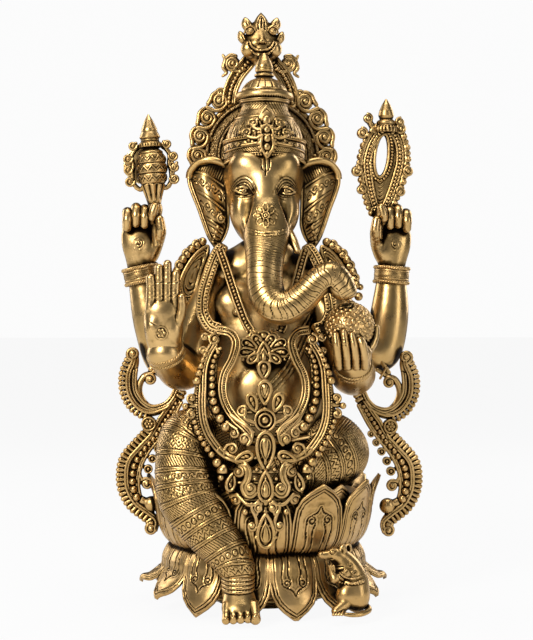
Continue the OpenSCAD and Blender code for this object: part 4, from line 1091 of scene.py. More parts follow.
def ear(side):
    """A folded fan-shaped ear with a rolled upper edge, bands of scrolls and slanting folds."""
    nu, nv = 61, 97
    v = np.linspace(0, 1, nv)
    # inner and outer edges from the top to the lobe
    inner = smooth_path([[-37, -10, 466], [-38, -14, 450], [-38, -18, 434], [-37.5, -19, 416],
                         [-37.5, -18, 401],
                         [-42, -17, 388], [-49, -16, 379]], nv)
    outer = smooth_path([[-79, -4, 461], [-80.5, -6, 450], [-77.5, -8, 438], [-71, -10, 421],
                         [-65.5, -12, 405],
                         [-59.5, -14, 389], [-52, -16, 377]], nv)
    u = np.linspace(0, 1, nu)
    p = inner[:, None] * (1 - u)[None, :, None] + outer[:, None] * u[None, :, None]
    wave = np.sin(u * PI)[None, :] * np.sin(np.clip(v * 1.1, 0, 1) * PI)[:, None]
    p[:, :, 1] -= 5.5 * wave
    p[:, :, 1] += 2.6 * np.sin(u[None, :] * 7.5) * (1 - v[:, None]) ** 0.5
    p[:, :, 2] += (1.5 + 7 * np.sin(u * PI) * 0.6)[None, :] * (1 - v[:, None]) ** 4
    width = np.linalg.norm(outer - inner, axis=1)
    s = v[:, None] * 96.0
    a = u[None, :] * width[:, None]
    edge = np.minimum(a, width[:, None] - a)
    edge = np.minimum(edge, s + 1.0)
    h = 0.9 * line_cut(edge - 1.4, 1.1) - 0.8 * line_cut(edge - 3.6, 0.6)
    inside = np.clip(edge - 4.4, 0, 1)
    # slanting bands: hatching at the top, then scrolls between raised lines, then long folds
    band = s + 0.55 * a
    limits = (24, 30, 48, 54, 70, 76)
    marks = [-0.6 * line_cut(wave_to(a - 0.4 * s, 2.9), 0.5), 0.7 * line_cut(band - 27, 1.0),
             scroll_fill(a, band - 39),
             0.9 * line_cut(band - 51, 1.0), scroll_fill(a + 5, band - 62), 0.9 * line_cut(band - 73, 1.0)]
    folds = -0.8 * line_cut(wave_to(band, 5.6), 0.75)
    h = h + inside * np.select([band < limit for limit in limits], marks, folds)
    heap = Heap()
    heap.add(closed_sheet(p - (h + 1.6)[:, :, None] * v3(0, 1, 0), p + v3(0, 2.6, 0)))
    roll = [[-36, -14, 462], [-47, -17.5, 468.5], [-60, -16, 471], [-71, -11.5, 468.0], [-78.5, -8, 459.5],
            [-80, -7, 452]]
    heap.add(ribbon(roll, lambda q: v3(0, -1, 0), round_section(3.9, 14), step=1.2))
    hem = [[-80, -6.5, 460], [-80.5, -8, 449], [-77, -10, 436.5], [-70.5, -12, 420], [-65, -14, 404],
           [-59, -15.5, 388.5], [-52.5, -16.5, 378.5]]
    heap.add(ribbon(hem, lambda q: v3(0, -1, 0), round_section(1.7, 8), step=1.2))
    # a curl with a string of four pearls hanging at the lobe
    c = Clay((-70, -34, 372), (-34, -6, 420), 0.5)
    c.cord(lay(curl((-46, 408), 5.2, 1.4, 90, 1), -23.5), 1.2, 0.4)
    c.ball([-46, -24, 408], [2.2, 2.0, 2.2], 0.3)
    for q in range(4):
        c.ball([-50 - 1.6 * q, -23 + 0.9 * q, 399 - 5.2 * q], 2.6 - 0.25 * q, 0.3)
    c.rod([-50, -19, 404], [-55, -17, 384], 2.0, 1.6, 1.0)
    heap.add(c.mesh())
    v, f = heap.mesh()
    return outward(v * v3(-1, 1, 1), f) if side > 0 else (v, f)


piece("right_ear_fan", ear(-1), ["right_ear"], "engraved_brass", "ornament")
piece("left_ear_fan", ear(1), ["left_ear"], "engraved_brass", "ornament")


# ---------------------------------------------------------------- crown
CROWN = (0.0, -14.0)        # the x and y of the axis of its cap and band
CROWN_BACK = 26.5           # it is flat behind, where it meets the halo plate


def cap_relief(a, z, r):
    """Soft pointed leaves round the lower cap under a few turned rings."""
    leaf_w = wave_to(a, 2 * PI / 18) * r
    up = np.clip((z - 492.0) / 18, 0, 1)
    leaf = np.abs(leaf_w) - 5.6 * np.sqrt(np.clip(1 - up**1.5, 0, 1))
    body = (z > 491.5) & (z < 512)
    h = np.where(body, 0.55 * line_cut(leaf + 0.6, 0.7) - 0.5 * line_cut(leaf + 1.9, 0.45)
                 + 0.5 * np.clip(1 - (np.hypot(leaf_w, z - 498) / 2.0) ** 2, 0, 1), 0)
    h = h + np.where((z > 513) & (z < 517), 0.8 * line_cut(z - 515, 1.0), 0)
    h = h + np.where((z > 517) & (z < 530), -0.35 * line_cut(wave_to(a * r + 0.6 * z, 3.2), 0.5), 0)
    return h + 0.8 * line_cut(z - 531.5, 0.9)


def arched(mesh):
    """Lift the lower front of the crown into an arch over the brow."""
    v, f = mesh
    v = v.copy()
    front = np.clip(-(v[:, 1] - CROWN[1]) / 42.0, 0, 1) ** 2
    v[:, 2] += 6.0 * front * np.clip((500 - v[:, 2]) / 30, 0, 1)
    v[:, 1] = np.minimum(v[:, 1], CROWN_BACK)
    return v, f


def crown_cap():
    prof = [[0, 468], [40.5, 468], [41.2, 480], [41.0, 489], [39.6, 497], [36.8, 505], [32.8, 512],
            [28.4, 518],
            [25.4, 523], [24.2, 527.5], [25.0, 531], [27.4, 534], [0, 534]]
    return arched(lathe(prof, [*CROWN, 0], 260, cap_relief, step=0.55))


piece("crown_cap_leaves", crown_cap(), ["crown_cap"], "engraved_brass", "ornament")


def band_relief(a, z, r):
    """Rolled edges, a plaited cord and a row of soft lozenges."""
    u = a * r
    edge = np.minimum(z - 467.5, 489.5 - z)
    h = 1.0 * line_cut(edge - 1.3, 1.0) - 0.9 * line_cut(edge - 3.0, 0.5)
    low = -0.6 * line_cut(wave_to(u + 0.9 * (z - 474), 2.6), 0.5) * (np.abs(z - 474) < 2.6)
    mid = 1.0 * line_cut(z - 478.2, 0.8)
    loz = np.abs(wave_to(u, 9.0)) / 4.0 + np.abs(z - 482.8) / 3.6
    high = 0.9 * np.clip(1.1 - loz, 0, 1) ** 0.7
    return h + (low + high) * (edge > 3.4) + mid


def crown_band():
    heap = Heap()
    prof = [[0, 467.2], [38.5, 467.2], [42.4, 467.2], [43.2, 468.5], [42.6, 471], [42.6, 486], [43.2, 488.5],
            [42.4, 489.8], [38.5, 489.8], [0, 489.8]]
    heap.add(lathe(prof, [*CROWN, 0], 300, band_relief, step=0.5))
    for z, r, n in ((466.6, 1.5, 92), (490.2, 1.4, 88)):
        for x, y in ring_rows(*CROWN, 43.3, n + 1)[:-1]:
            heap.add(sphere_mesh([x, y, z], r, 10, 6))
    return arched(heap.mesh())


piece("crown_band_jewels", crown_band(), ["crown_band"], "engraved_brass", "ornament")


def crown_wall(x, z):
    """The y of the crown's front surface at (x, z)."""
    r = float(np.interp(z, [466, 492, 493, 497, 505, 512, 518, 523, 527, 534],
                        [43.4, 43.4, 41.0, 39.6, 36.8, 32.8, 28.4, 25.4, 24.2, 27]))
    inside = max(r * r - (x - CROWN[0]) ** 2, 4.0)
    return CROWN[1] - math.sqrt(inside) - 0.5


def crown_jewel():
    """The plume on the crown's front: a drop, rolled arms on both sides and a long jewelled leaf."""
    c = Clay((-42, -74, 450), (42, -30, 534), 0.45)

    def d(x, z):
        return crown_wall(x, z) - 2.4

    # the long leaf
    leaf = smooth_path([[0, 504], [5.0, 500.5], [6.4, 495], [5.8, 489], [6.6, 482.5], [4.8, 477], [0, 469.5]],
                       40)
    for s in (-1, 1):
        rows = np.array([[s * x, z] for x, z in leaf])
        c.cord(lay(rows, d), 1.5, 0.4)
        for x, z in even_path(rows, 4.0)[1:-2]:
            c.ball([x + s * 2.2, d(x, z) + 0.6, z], 1.9, 0.4)
    for z in np.arange(472, 503, 2.0):
        w = float(np.interp(z, [470, 477, 482.5, 489, 495, 500, 504], [1.5, 4.2, 5.8, 5.2, 5.6, 4.4, 1.0]))
        c.rod([-w, d(w, z) + 2.2, z], [w, d(w, z) + 2.2, z], 1.9, 1.9, 1.2)
    for z, w, h in ((498, 3.3, 4.6), (488.8, 3.5, 4.8), (480, 3.5, 4.6), (473.4, 2.0, 2.8)):
        c.ball([0, d(0, z) - 0.2, z], [w, 2.0, h * 0.8], 0.5)
    # the drop on top with its rim, then the arms, struts and pearls on each side
    c.ball([0, d(0, 511) + 1.0, 511], [8.8, 2.8, 8.8], 1.0)
    edge = []
    for t in np.linspace(-PI, PI, 37):
        edge.append([8.8 * math.sin(t) * (0.5 - 0.5 * math.cos(t)) ** 0.42, 512.5 + 11.0 * math.cos(t)])
    c.cord(lay(edge, d(0, 512) + 0.2), 1.5, 0.4)
    c.ball([0, d(0, 509) - 1.8, 508.5], [4.4, 2.3, 5.0], 0.5)
    for s in (-1, 1):
        lead = smooth_path([[s * 4, 500], [s * 8.6, 498.6], [s * 13, 500.6], [s * 16.4, 504.4]], 12)
        scroll(c, (s * 13.6, 506.0), 5.2, d, 1.2, -10 if s > 0 else 190, s, 1.7, lead=lead)
        lead = smooth_path([[s * 5, 492], [s * 12, 489.5], [s * 19, 491.0], [s * 23.5, 494.5]], 12)
        scroll(c, (s * 20.4, 496.0), 4.8, d, 1.2, -10 if s > 0 else 190, s, 1.6, lead=lead)
        c.rod([s * 7, d(s * 7, 486), 485], [s * 26, d(s * 26, 486) - 0.4, 482.5], 1.5, 1.3, 0.5)
        for x, z, r in ((9.6, 509.6, 2.2), (27.6, 496.4, 2.0), (12.4, 494.4, 1.6), (18.8, 487.2, 1.5)):
            c.ball([s * x, d(s * x, z), z], r, 0.4)
    return c.mesh()


ornament("crown_front_jewel", crown_jewel(), "crown_jewel")


def brim_relief(a, z, r):
    return np.where((r > 26) & (z < 537.5), -0.3 * line_cut(wave_to(a * r, 2.8), 0.5), 0)


piece("crown_brim_ring", lathe([
    [0, 534.1], [24, 534.1], [26.5, 534.4], [29.5, 535.4], [31, 537], [31.6, 539], [31, 541.4], [29.4, 543],
    [26.5, 544],
    [0, 544],
], [0, -8, 0], 240, brim_relief, step=0.5), ["crown_brim"], "ornament_brass", "ornament")


def spire_relief(a, z, r):
    flute = np.abs(np.sin(a * 9))
    dome = (z > 546.5) & (z < 557)
    foot_of_cone = (z > 567.5) & (z < 571)
    h = np.where(dome, -0.7 * line_cut(flute, 0.25) * np.clip((r - 8) / 8, 0, 1), 0)
    return h + np.where(foot_of_cone, 0.2 * np.cos(z * PI), 0)


piece("crown_spire_dome", lathe([
    [0, 544.15], [23.4, 544.15], [24.4, 545], [24.2, 547], [22.4, 550], [19.4, 553.4], [15.4, 556.4],
    [10.6, 558.5],
    [8.6, 559.4], [8.6, 560.3], [10.2, 561], [10.6, 562.2], [10.2, 563.4], [8.4, 564.2], [8.3, 565],
    [9.2, 566],
    [9.6, 567.4], [9.7, 569.4], [9.1, 573], [7.4, 577.5], [4.9, 582], [1.6, 586.2], [0, 586.4],
], [0, -8, 0], 180, spire_relief, step=0.45), ["crown_spire"], "ornament_brass", "ornament")


# ---------------------------------------------------------------- halo
HALO_Z = 480        # the height of the halo's middle


def halo_plate():
    """The plain disc behind the head with two raised rings. Its stippling is in its material."""
    c = Clay((-66, 10, 404), (66, 36, 546), 0.6)
    c.disc([0, 26.9, HALO_Z], 62, 2.4, soft=0.8)
    c.plane([0, 26, 409], [0, 0, -1])
    for r, wire in ((60.4, 1.9), (47.5, 1.5)):
        t = np.radians(np.linspace(-58, 238, 120))
        c.cord(lay(np.stack([r * np.cos(t), HALO_Z + r * np.sin(t)], 1), 24.0), wire, 0.3)
    return c.mesh()


piece("halo_plate_rings", halo_plate(), ["halo_plate"], "engraved_brass", "stipple")


def halo_scrolls(s):
    """Five fat scrolls up the side of the halo, each in a scalloped leaf that runs on into the next."""
    c = Clay((-98 if s < 0 else 16, 12, 452), (-16 if s < 0 else 98, 38, 562), 0.5)
    for k, far in enumerate((75.5, 72.5, 70.8, 70.2, 69.8)):
        t = math.radians(52 - 17.4 * k)
        x, z = s * far * math.cos(t), HALO_Z + far * math.sin(t)
        out = v3(s * math.cos(t), 0, math.sin(t))
        up = v3(-s * math.sin(t), 0, math.cos(t))
        here = v3(x, 0, z)
        c.disc([x, 27.2, z], 9.2, 1.8, 0.8, soft=1.2)
        # the strap runs up the inside of the wreath, over the top of the scroll, and rolls inwards
        lead = smooth_path([here - up * 15.5 + out * 3.0, here - up * 11.5 - out * 4.5,
                            here - up * 4.5 - out * 8.6,
                            here + up * 3.5 - out * 7.8], 12)
        toward = up * 0.6 - out * 0.8
        face = math.degrees(math.atan2(toward[2], toward[0]))
        scroll(c, (x, z), 7.6, 22.9, 1.75, face, -s, 2.2, lead=lead[:, [0, 2]])
        c.ball([x, 21.9, z], [2.4, 1.9, 2.4], 0.3)
        # a wavy leaf edge outside, its tip standing clear between two scrolls
        edge = smooth_path([here + up * 10.6 - out * 3.0, here + up * 10.4 + out * 3.5,
                            here + up * 5.6 + out * 9.2,
                            here - up * 1.5 + out * 10.2, here - up * 7.4 + out * 7.0,
                            here - up * 11.6 + out * 5.4], 24)
        edge[:, 1] = 25.2
        c.cord(np.column_stack([edge, np.linspace(1.3, 2.6, len(edge))]), 2.4, 0.6)
        back = here + v3(0, 26, 0)
        c.rod(back - out * 12.5, back - out * 4, 3.0, 3.0, 1.0)
    t = np.radians(np.linspace(-28, 66, 60))
    c.cord(lay(np.stack([s * 64.6 * np.cos(t), HALO_Z + 64.6 * np.sin(t)], 1), 26.4), 2.8, 1.0)
    # the end curl below the lowest scroll
    t = math.radians(52 - 17.4 * 4 - 14)
    x, z = s * 71 * math.cos(t), HALO_Z + 71 * math.sin(t)
    c.ball([x, 26, z], [5.6, 2.4, 5.6], 1.0)
    scroll(c, (x, z), 4.4, 23.6, 1.3, 90, s, 1.4)
    return c.mesh()


ornament("right_halo_scroll_row", halo_scrolls(-1), "right_halo_scrolls")
ornament("left_halo_scroll_row", halo_scrolls(1), "left_halo_scrolls")


def crest_ribbons():
    """Two beaded ribbons that rise from the halo, with a curled leaf outside each."""
    c = Clay((-50, -2, 534), (50, 38, 606), 0.45)
    for s in (-1, 1):
        pts = smooth_path([[8, 592], [15, 583], [24, 572], [30, 561], [33.5, 550], [34.5, 541]], 34)
        t = unit(np.gradient(pts, axis=0))
        side = np.stack([t[:, 1], -t[:, 0]], 1)
        for off, wire in ((-6.4, 1.8), (6.4, 1.8), (-3.9, 0.7), (3.9, 0.7)):
            q = pts + side * off
            c.cord(lay(q * [s, 1], 22.6), wire, 0.4)
        c.cord(lay(pts * [s, 1], 25.4), 6.6, 1.0, flat=2.0)
        for x, z in even_path(pts, 4.6):
            c.ball([s * x, 21.9, z], [2.3, 1.8, 2.3], 0.3)
        # the curl beside the mask with a wavy tip above and below, and a second curl beside the ribbon
        c.disc([s * 30.5, 25.4, 583], 8.6, 2.0, 0.8, soft=1.0)
        scroll(c, (s * 30.5, 583), 7.4, 22.4, 1.9, -100, s, 1.7,
               lead=smooth_path([[s * 17, 577], [s * 22, 574.5], [s * 27, 574.8]], 6))
        c.ball([s * 30.5, 21.6, 583], [2.2, 1.7, 2.2], 0.3)
        upper = [[27, 591.6], [33, 592.6], [38.4, 589], [41, 592.6]]
        lower = [[38.8, 586], [40.6, 579], [37.0, 573.6], [41.5, 569.6]]
        for rows, thick, thin in ((upper, 2.2, 1.4), (lower, 2.4, 1.3)):
            tip = lay(smooth_path(rows, 14) * [s, 1], 25.0)
            c.cord(np.column_stack([tip, np.linspace(thick, thin, 14)]), 2.0, 0.8)
        scroll(c, (s * 43, 551), 5.2, 23.0, 1.6, 150, s, 1.5, lead=[[s * 36, 558], [s * 38, 554]])
        c.disc([s * 43, 25.4, 551], 5.2, 1.9, 0.6)
    c.cord([[0, 22, 592], [0, 24, 586]], 6.0, 2.0)
    c.cord([[-14, 23, 591], [0, 22, 585.6], [14, 23, 591]], 3.4, 1.0)
    return c.mesh()


def crest_mask():
    """The smiling lion mask: ball eyes, a long nose, round cheeks over a wide smile, and fat leaves."""
    c = Clay((-28, -6, 576), (28, 36, 642), 0.42)
    c.limb([[0, 17, 588, 9, 8, 8], [0, 15, 597, 17, 12, 11], [0, 16, 608, 16, 12, 12],
            [0, 18, 620, 13, 10, 9]], 14, 4)
    c.ball([0, 7.5, 593], [9, 7, 6], 3)
    for s in (-1, 1):
        c.ball([s * 13.0, 9.0, 596.6], [9.2, 8.2, 9.4], 1.8)
        c.ball([s * 6.0, 6.6, 602.5], [5.4, 5.2, 4.6], 1.6)
        # eye ball, its lid and pupil
        c.ball([s * 12.0, 8.0, 615.4], [5.2, 5.4, 5.0], 0.4)
        c.cord([[s * 6.2, 6.6, 613.6], [s * 7.6, 4.4, 618.6], [s * 12, 3.2, 621.2], [s * 16.6, 5.6, 619.0],
                [s * 18.2, 9.0, 614]],
               1.15, 0.4)
        c.ball([s * 12.0, 2.6, 615.0], [1.9, 0.9, 1.9], 0.2)
        c.ball([s * 3.2, 1.6, 603.0], [2.5, 2.5, 2.2], 0.6)
        c.ball([s * 2.6, -0.8, 602.0], [1.0, 0.9, 0.8], 0.2, cut=True)
        # leaves: one standing outside the eye, and an ear-shaped one beside the cheek
        for x, z, lean, wide, tall in ((15.4, 624.0, 16, 6.2, 8.2), (20.2, 609.5, 26, 5.4, 8.0)):
            t = math.radians(lean) * s
            up = v3(math.sin(t), 0.10, math.cos(t))
            root = v3(s * x, 14, z) - up * tall * 0.6
            c.limb([[*root, wide * 0.75, 4, 3], [*(root + up * tall * 0.55), wide, 4.4, 4],
                    [*(root + up * tall * 1.1), wide * 0.62, 3, 3], [*(root + up * tall * 1.5), 0.9, 1, 1]],
                    10, 0.9)
            rib = [[root[0] + up[0] * q, 8.6 + 0.16 * q, root[2] + up[2] * q] for q in (0.5, tall * 0.6,
                                                                                        tall * 1.2)]
            c.cord(rib, 0.75, 0.3, cut=True)
    # nose: a long bridge widening into a round tip
    c.rod([0, 2.2, 604.5], [0, 9.0, 622], 2.9, 2.0, 1.0)
    c.ball([0, -0.2, 603.6], [3.7, 3.2, 2.9], 0.8)
    # brow point
    c.limb([[0, 12, 614, 6.6, 6.0, 4], [0, 12, 623, 8.4, 6.4, 5], [0, 14.5, 630, 5.6, 4.6, 4],
            [0, 17.5, 637, 0.9, 1, 1]], 12, 1.0)
    along_front(c, [[0, 619], [0, 633]], 0.75, 0.3, cut=True)
    for s in (-1, 1):
        along_front(c, [[s * 3.6, 617], [s * 3.8, 625], [s * 1.4, 632]], 0.7, 0.3, cut=True)
    # the smile: one wide closed line turned up at both cheeks, with a lip above and below
    smile = [[-14.6, 601.6], [-11.6, 596.2], [-6.6, 592.8], [0, 591.4], [6.6, 592.8], [11.6, 596.2],
             [14.6, 601.6]]
    along_front(c, [[x * 0.93, z + 2.4] for x, z in smile], 1.0, 0.6, lift=0.1)
    along_front(c, [[x * 0.93, z - 2.6] for x, z in smile[1:-1]], 1.0, 0.6, lift=0.0)
    along_front(c, smile, 0.8, 0.4, lift=-0.1, cut=True)
    return c.mesh()


crest = Heap()
crest.add(crest_ribbons())
crest.add(crest_mask())
CREST_V, CREST_F = crest.mesh()
ornament("halo_crest_mask", (CREST_V + v3(-2, 0, -3), CREST_F), "halo_crest")


# ---------------------------------------------------------------- goad, disc and noose
def goad_relief(a, z, r):
    """Leaves on the vessel's cup, three zigzag bands on its bowl and notches on its collar."""
    cup = (z > 41) & (z < 60)
    h = np.where(cup, 0.9 * np.cos(a * 9) * np.clip((z - 41) / 8, 0, 1), 0)
    for z0 in (66, 77, 88):
        q = z - z0
        zig = (np.abs(((a * 11 / (2 * PI)) % 1) - 0.5) * 2 - 0.5) * 5.0
        h = h + np.where(np.abs(q) < 4.6, 0.9 * line_cut(q - zig, 0.9), 0) - 0.9 * line_cut(np.abs(q) - 5.3,
                                                                                            0.5)
    return h + np.where((z > 100.5) & (z < 104), 0.3 * np.cos(a * 22), 0)


def goad_piece():
    """The vessel on its stem, leaning a little, with a scrolled frame on both sides."""
    heap = Heap()
    # plain stem, leaf cup, banded bowl, collars and the pointed finial
    prof = [[0, -6], [5.0, -6], [5.4, 16], [6.2, 24], [7.8, 30], [8.4, 33], [8.2, 36], [7.2, 39.5], [9.0, 49],
            [12.4, 59], [14.8, 65], [15.9, 72], [16.1, 80], [15.2, 88], [12.6, 95.5], [8.6, 98.5],
            [12.8, 100.5],
            [12.8, 104], [9.8, 106.5], [9.8, 109], [11.2, 111], [9.8, 114.5], [8.6, 117], [8.4, 120],
            [4.4, 129.5],
            [0.5, 136], [0, 136]]
    tilt = math.radians(-4)
    m = np.array([[math.cos(tilt), 0, math.sin(tilt)], [0, 1, 0], [-math.sin(tilt), 0, math.cos(tilt)]])
    v, f = lathe(prof, [0, 0, 0], 128, goad_relief, step=0.6)
    at = v3(-114.4, 4, 386)
    heap.add((v @ m.T + at, f))
    c = Clay((-160, -8, 424), (-80, 18, 500), 0.45)
    frame_rows = [[9, 61], [16, 56], [23, 62], [24.5, 72], [22.6, 82], [24, 91], [20.5, 97], [15, 101]]
    for s in (-1, 1):
        wide = 0.87 if s < 0 else 0.83

        def place(x, z):
            p = m @ v3(s * x * wide, 0, z) + at
            return p[0], p[2]

        c.cord(lay([place(x, z) for x, z in smooth_path(frame_rows, 34)], 4.0), 2.5, 0.4)
        for x, z, r in ((28.2, 65, 5.2), (29.4, 77.5, 4.6), (28.6, 89.5, 5.2), (21.5, 103, 4.6)):
            px, pz = place(x, z)
            scroll(c, (px, pz), r, 2.4, 1.5, 180 if s > 0 else 0, s, 1.5)
            c.disc([px, 4.6, pz], r * 0.95, 1.8, 0.6)
            c.ball([px, 1.6, pz], 1.8, 0.3)
        for x, z in ((27, 71.6), (26.8, 82.6), (17.5, 105.5), (21, 57.5), (32.4, 82)):
            px, pz = place(x, z)
            c.ball([px, 3.6, pz], 1.9, 0.4)
    heap.add(c.mesh())
    return heap.mesh()


ornament("goad_vessel", goad_piece(), "goad")


def chakra_disc():
    """A thin round disc with a milled rim, standing upright behind the goad."""
    v, f = lathe([[0, -1.5], [19.4, -1.5], [20, -0.9], [20, 0.9], [19.4, 1.5], [0, 1.5]], [0, 0, 0], 72,
                 lambda a, z, r: np.where(r > 17, 0.35 * np.cos(a * 36), 0), step=1.0)
    return outward(v[:, [0, 2, 1]] + v3(-131, 25.4, 469), f)


piece("chakra_disc_face", chakra_disc(), ["chakra_disc"], "pale_brass", "pale")


def leaf_point(a, grow):
    """A point on the noose's leaf outline at angle a, moved outwards by grow."""
    q = math.sin(a)
    w = 24 * (1 - 0.3 * max(-q, 0)) + grow
    return 130 + w * math.cos(a) + 4 * q, 470 + ((42 if q > 0 else 58) + grow) * q


def slot_point(a, grow):
    """A point on the outline of the slanting slot in the noose at angle a, moved outwards by grow."""
    turn = math.radians(-6)
    x, z = (5.6 + grow) * math.cos(a), ((24 if math.sin(a) > 0 else 20) + grow) * math.sin(a)
    return 128 + x * math.cos(turn) - z * math.sin(turn), 477 + x * math.sin(turn) + z * math.cos(turn)


def noose_relief(a, z, r):
    return np.where(r > 11, 0.4 * np.cos(a * 20), 0)


def noose_piece():
    """A leaf of two beaded ribbons round a slanting slot, edged with pearls and scrolls, on a short rod."""
    c = Clay((92, -6, 384), (170, 14, 560), 0.45)
    ts = np.linspace(0, 2 * PI, 73)
    for f in np.linspace(0, 1, 9):
        ring = []
        for t in ts:
            a, b = slot_point(t, 2.2), leaf_point(t, -6.5)
            ring.append([a[0] + (b[0] - a[0]) * f, a[1] + (b[1] - a[1]) * f])
        c.cord(lay(ring, 4.6), 2.0, 1.2)

    def wire(point, grow, y, r, k=0.4):
        c.cord(lay([point(t, grow) for t in ts], y), r, k)

    def beads(point, grow, step, r, deep):
        for x, z in even_path([point(t, grow) for t in ts[:-1]], step, closed=True)[:-1]:
            c.ball([x, 2.0, z], [r, deep, r], 0.2)

    wire(slot_point, 1.9, 2.6, 1.35)
    beads(slot_point, 5.6, 3.4, 1.55, 1.35)
    wire(leaf_point, -9.4, 2.4, 1.3)
    beads(leaf_point, -6.2, 4.0, 1.85, 1.5)
    wire(leaf_point, -3.2, 2.9, 1.3)
    wire(leaf_point, 0.6, 4.8, 3.0, 1.0)
    # outer edge: big and small pearls in turn
    rim = even_path([leaf_point(t, 2.4) for t in np.radians(np.linspace(-62, 242, 120))], 6.3)
    for k, (x, z) in enumerate(rim):
        s = 1 if x > 130 else -1
        if k % 2 == 0:
            c.ball([x, 3.4, z], [3.9, 2.7, 3.9], 0.6)
            c.ball([x + s * 0.5, 0.8, z], [1.9, 1.2, 1.9], 0.3)
        else:
            c.ball([x + s * 0.4, 3.6, z], [3.0, 2.3, 3.0], 0.6)
    for x, z, r, s in ((107, 503, 5.8, -1), (149, 508, 5.8, 1), (101, 462, 5.8, -1), (157, 462, 5.4, 1),
                       (106, 442, 5.0, -1), (149, 440, 5.0, 1), (113, 519, 4.8, -1), (148, 515, 4.8, 1)):
        c.disc([x, 4.6, z], r * 1.02, 2.0, 0.8, soft=0.8)
        scroll(c, (x, z), r, 2.2, 1.5, 90, s, 1.7)
        c.ball([x, 1.4, z], [1.9, 1.4, 1.9], 0.3)
    c.rod([113, 4.6, 519], [121, 4.8, 505], 3.4, 3.6, 1.5)
    c.rod([148, 4.6, 515], [140, 4.8, 503], 3.4, 3.6, 1.5)
    c.ball([127, 4, 414], [6.5, 3.5, 7], 2.0)
    scroll(c, (120.5, 420), 4.4, 2.4, 1.4, 0, -1, 1.2)
    scroll(c, (134, 420), 4.4, 2.4, 1.4, 180, 1, 1.2)
    heap = Heap()
    heap.add(c.mesh())
    heap.add(lathe([[0, 0], [13, 0], [13.4, 2.4], [13, 5], [10, 8], [10.5, 10.4], [10, 12], [7, 14],
                    [8.5, 18],
                    [7.6, 23], [4.6, 30], [1.0, 36], [0, 36.2]], [133, 4, 504], 96, noose_relief, step=0.6))
    stem = [[124, 1, 388], [124.6, 1.8, 404], [126.6, 3.6, 420]]
    heap.add(ribbon(stem, lambda q: v3(0, -1, 0), round_section(4.5, 20), step=1.0))
    return heap.mesh()


ornament("noose_leaf", noose_piece(), "noose")


# ---------------------------------------------------------------- garlands and pendant
GX = -5.5       # the x of the line that the garlands and the pendant hang along
OUTER = [[-50, 277], [-56, 267], [-60, 256], [-61.5, 246], [-62, 232], [-62.5, 218], [-62, 206], [-60, 196],
         [-56, 186],
         [-49, 175.7], [-43, 169], [-37.5, 165]]
INNER = [[-46, 291], [-34, 288], [-28, 278], [-32, 262], [-40, 246], [-42, 230], [-38, 215], [-29, 202],
         [-21, 195], [-13.5, 187]]


def garland_depth(z):
    return -86 - 24 * math.sin(min(max((300 - z) / 150, 0), 1) * PI / 2)


def pendant_depth(z):
    return -113 - (222 - z) * 0.15 if z > 150 else -123.8 - (150 - z) * 0.05


def front_depth(x, z):
    """The y of the garlands at (x, z): the pendant's in the middle, blended into the body's at the sides."""
    w = min(max((abs(x - GX) - 16) / 26, 0), 1)
    w = w * w * (3 - 2 * w)
    return garland_depth(z) * w + pendant_depth(z) * (1 - w)


def strap(c, rows, depth, half, ridges, wire, beads=None, back=2.0):
    """A flat strap with raised ridges, and with a row of beads (offset, radius, pitch) along it."""
    p = even_path(np.asarray(rows, float), 1.5)
    for f in np.linspace(-1, 1, max(2, int(half / 1.6))):
        wire_along(c, offset_path(p, f * (half - back)), depth, back, back, 1.0)
    for r in ridges:
        wire_along(c, offset_path(p, r), depth, -0.3, wire)
    if beads:
        off, size, pitch = beads
        bead_row(c, even_path(offset_path(p, off), pitch), depth, -0.3, size, 0.25)


def bead_row(c, rows, depth, back, r, k):
    for x, z in rows:
        c.ball([x, depth(x, z) + back, z], r, k)


def pearls(c, rows, depth, back=0.0):
    """Single pearls: rows of (x, z, radius)."""
    for x, z, r in rows:
        y = depth(x, z)
        c.ball([x, y + back, z], r, 0.5)
        c.ball([x, y + back + r * 0.7, z], [r * 0.9, r * 0.8, r * 0.9], 1.0)


def graded(c, rows, r0, r1, depth, back):
    """A run of touching pearls that grow from r0 to r1 along the rows."""
    step = 0.4
    p = even_path(np.asarray(rows, float), step)
    i = 0
    while i < len(p):
        r = r0 + (r1 - r0) * i / len(p)
        pearls(c, [[p[i, 0], p[i, 1], r * 0.94]], depth, back)
        i += max(1, int(round((2 * r + 0.25) / step)))


def jewel(c, x, z, w, h, depth, turn=0.0, rim=1.5):
    """A teardrop jewel, its point towards the given turn in degrees from straight up."""
    a = math.radians(turn)
    y = depth(x, z)
    up = np.array([math.sin(a), math.cos(a)])
    rt = np.array([math.cos(a), -math.sin(a)])

    def at(u, v, y):
        q = np.array([x, z]) + rt * u + up * v
        return [q[0], y, q[1]]

    t = np.linspace(-PI, PI, 33)
    ex = 1.06 * w * np.sin(t) * (0.5 - 0.5 * np.cos(t)) ** 0.36
    ez = h * np.cos(t)
    m = [[rt[0], 0, rt[1]], [0, 1, 0], [up[0], 0, up[1]]]
    c.ball(at(0, -h * 0.35, y + 1.0), [w * 0.86, 1.8, h * 0.58], 1.0, turn=m)
    c.rod(at(0, -h * 0.2, y + 1.0), at(0, h * 0.82, y + 1.0), w * 0.34, 0.7, 1.0)
    c.cord([at(u, v, y - 0.5) for u, v in zip(ex, ez)], rim * 1.12, 0.3)
    if w > 6:
        c.cord([at(u * 0.56, v * 0.56 - h * 0.12, y - 0.2) for u, v in zip(ex, ez)], rim * 0.55, 0.2)
    c.ball(at(0, -h * 0.38, y - 0.5), [w * 0.34, 1.7, h * 0.3], 0.4, turn=m)


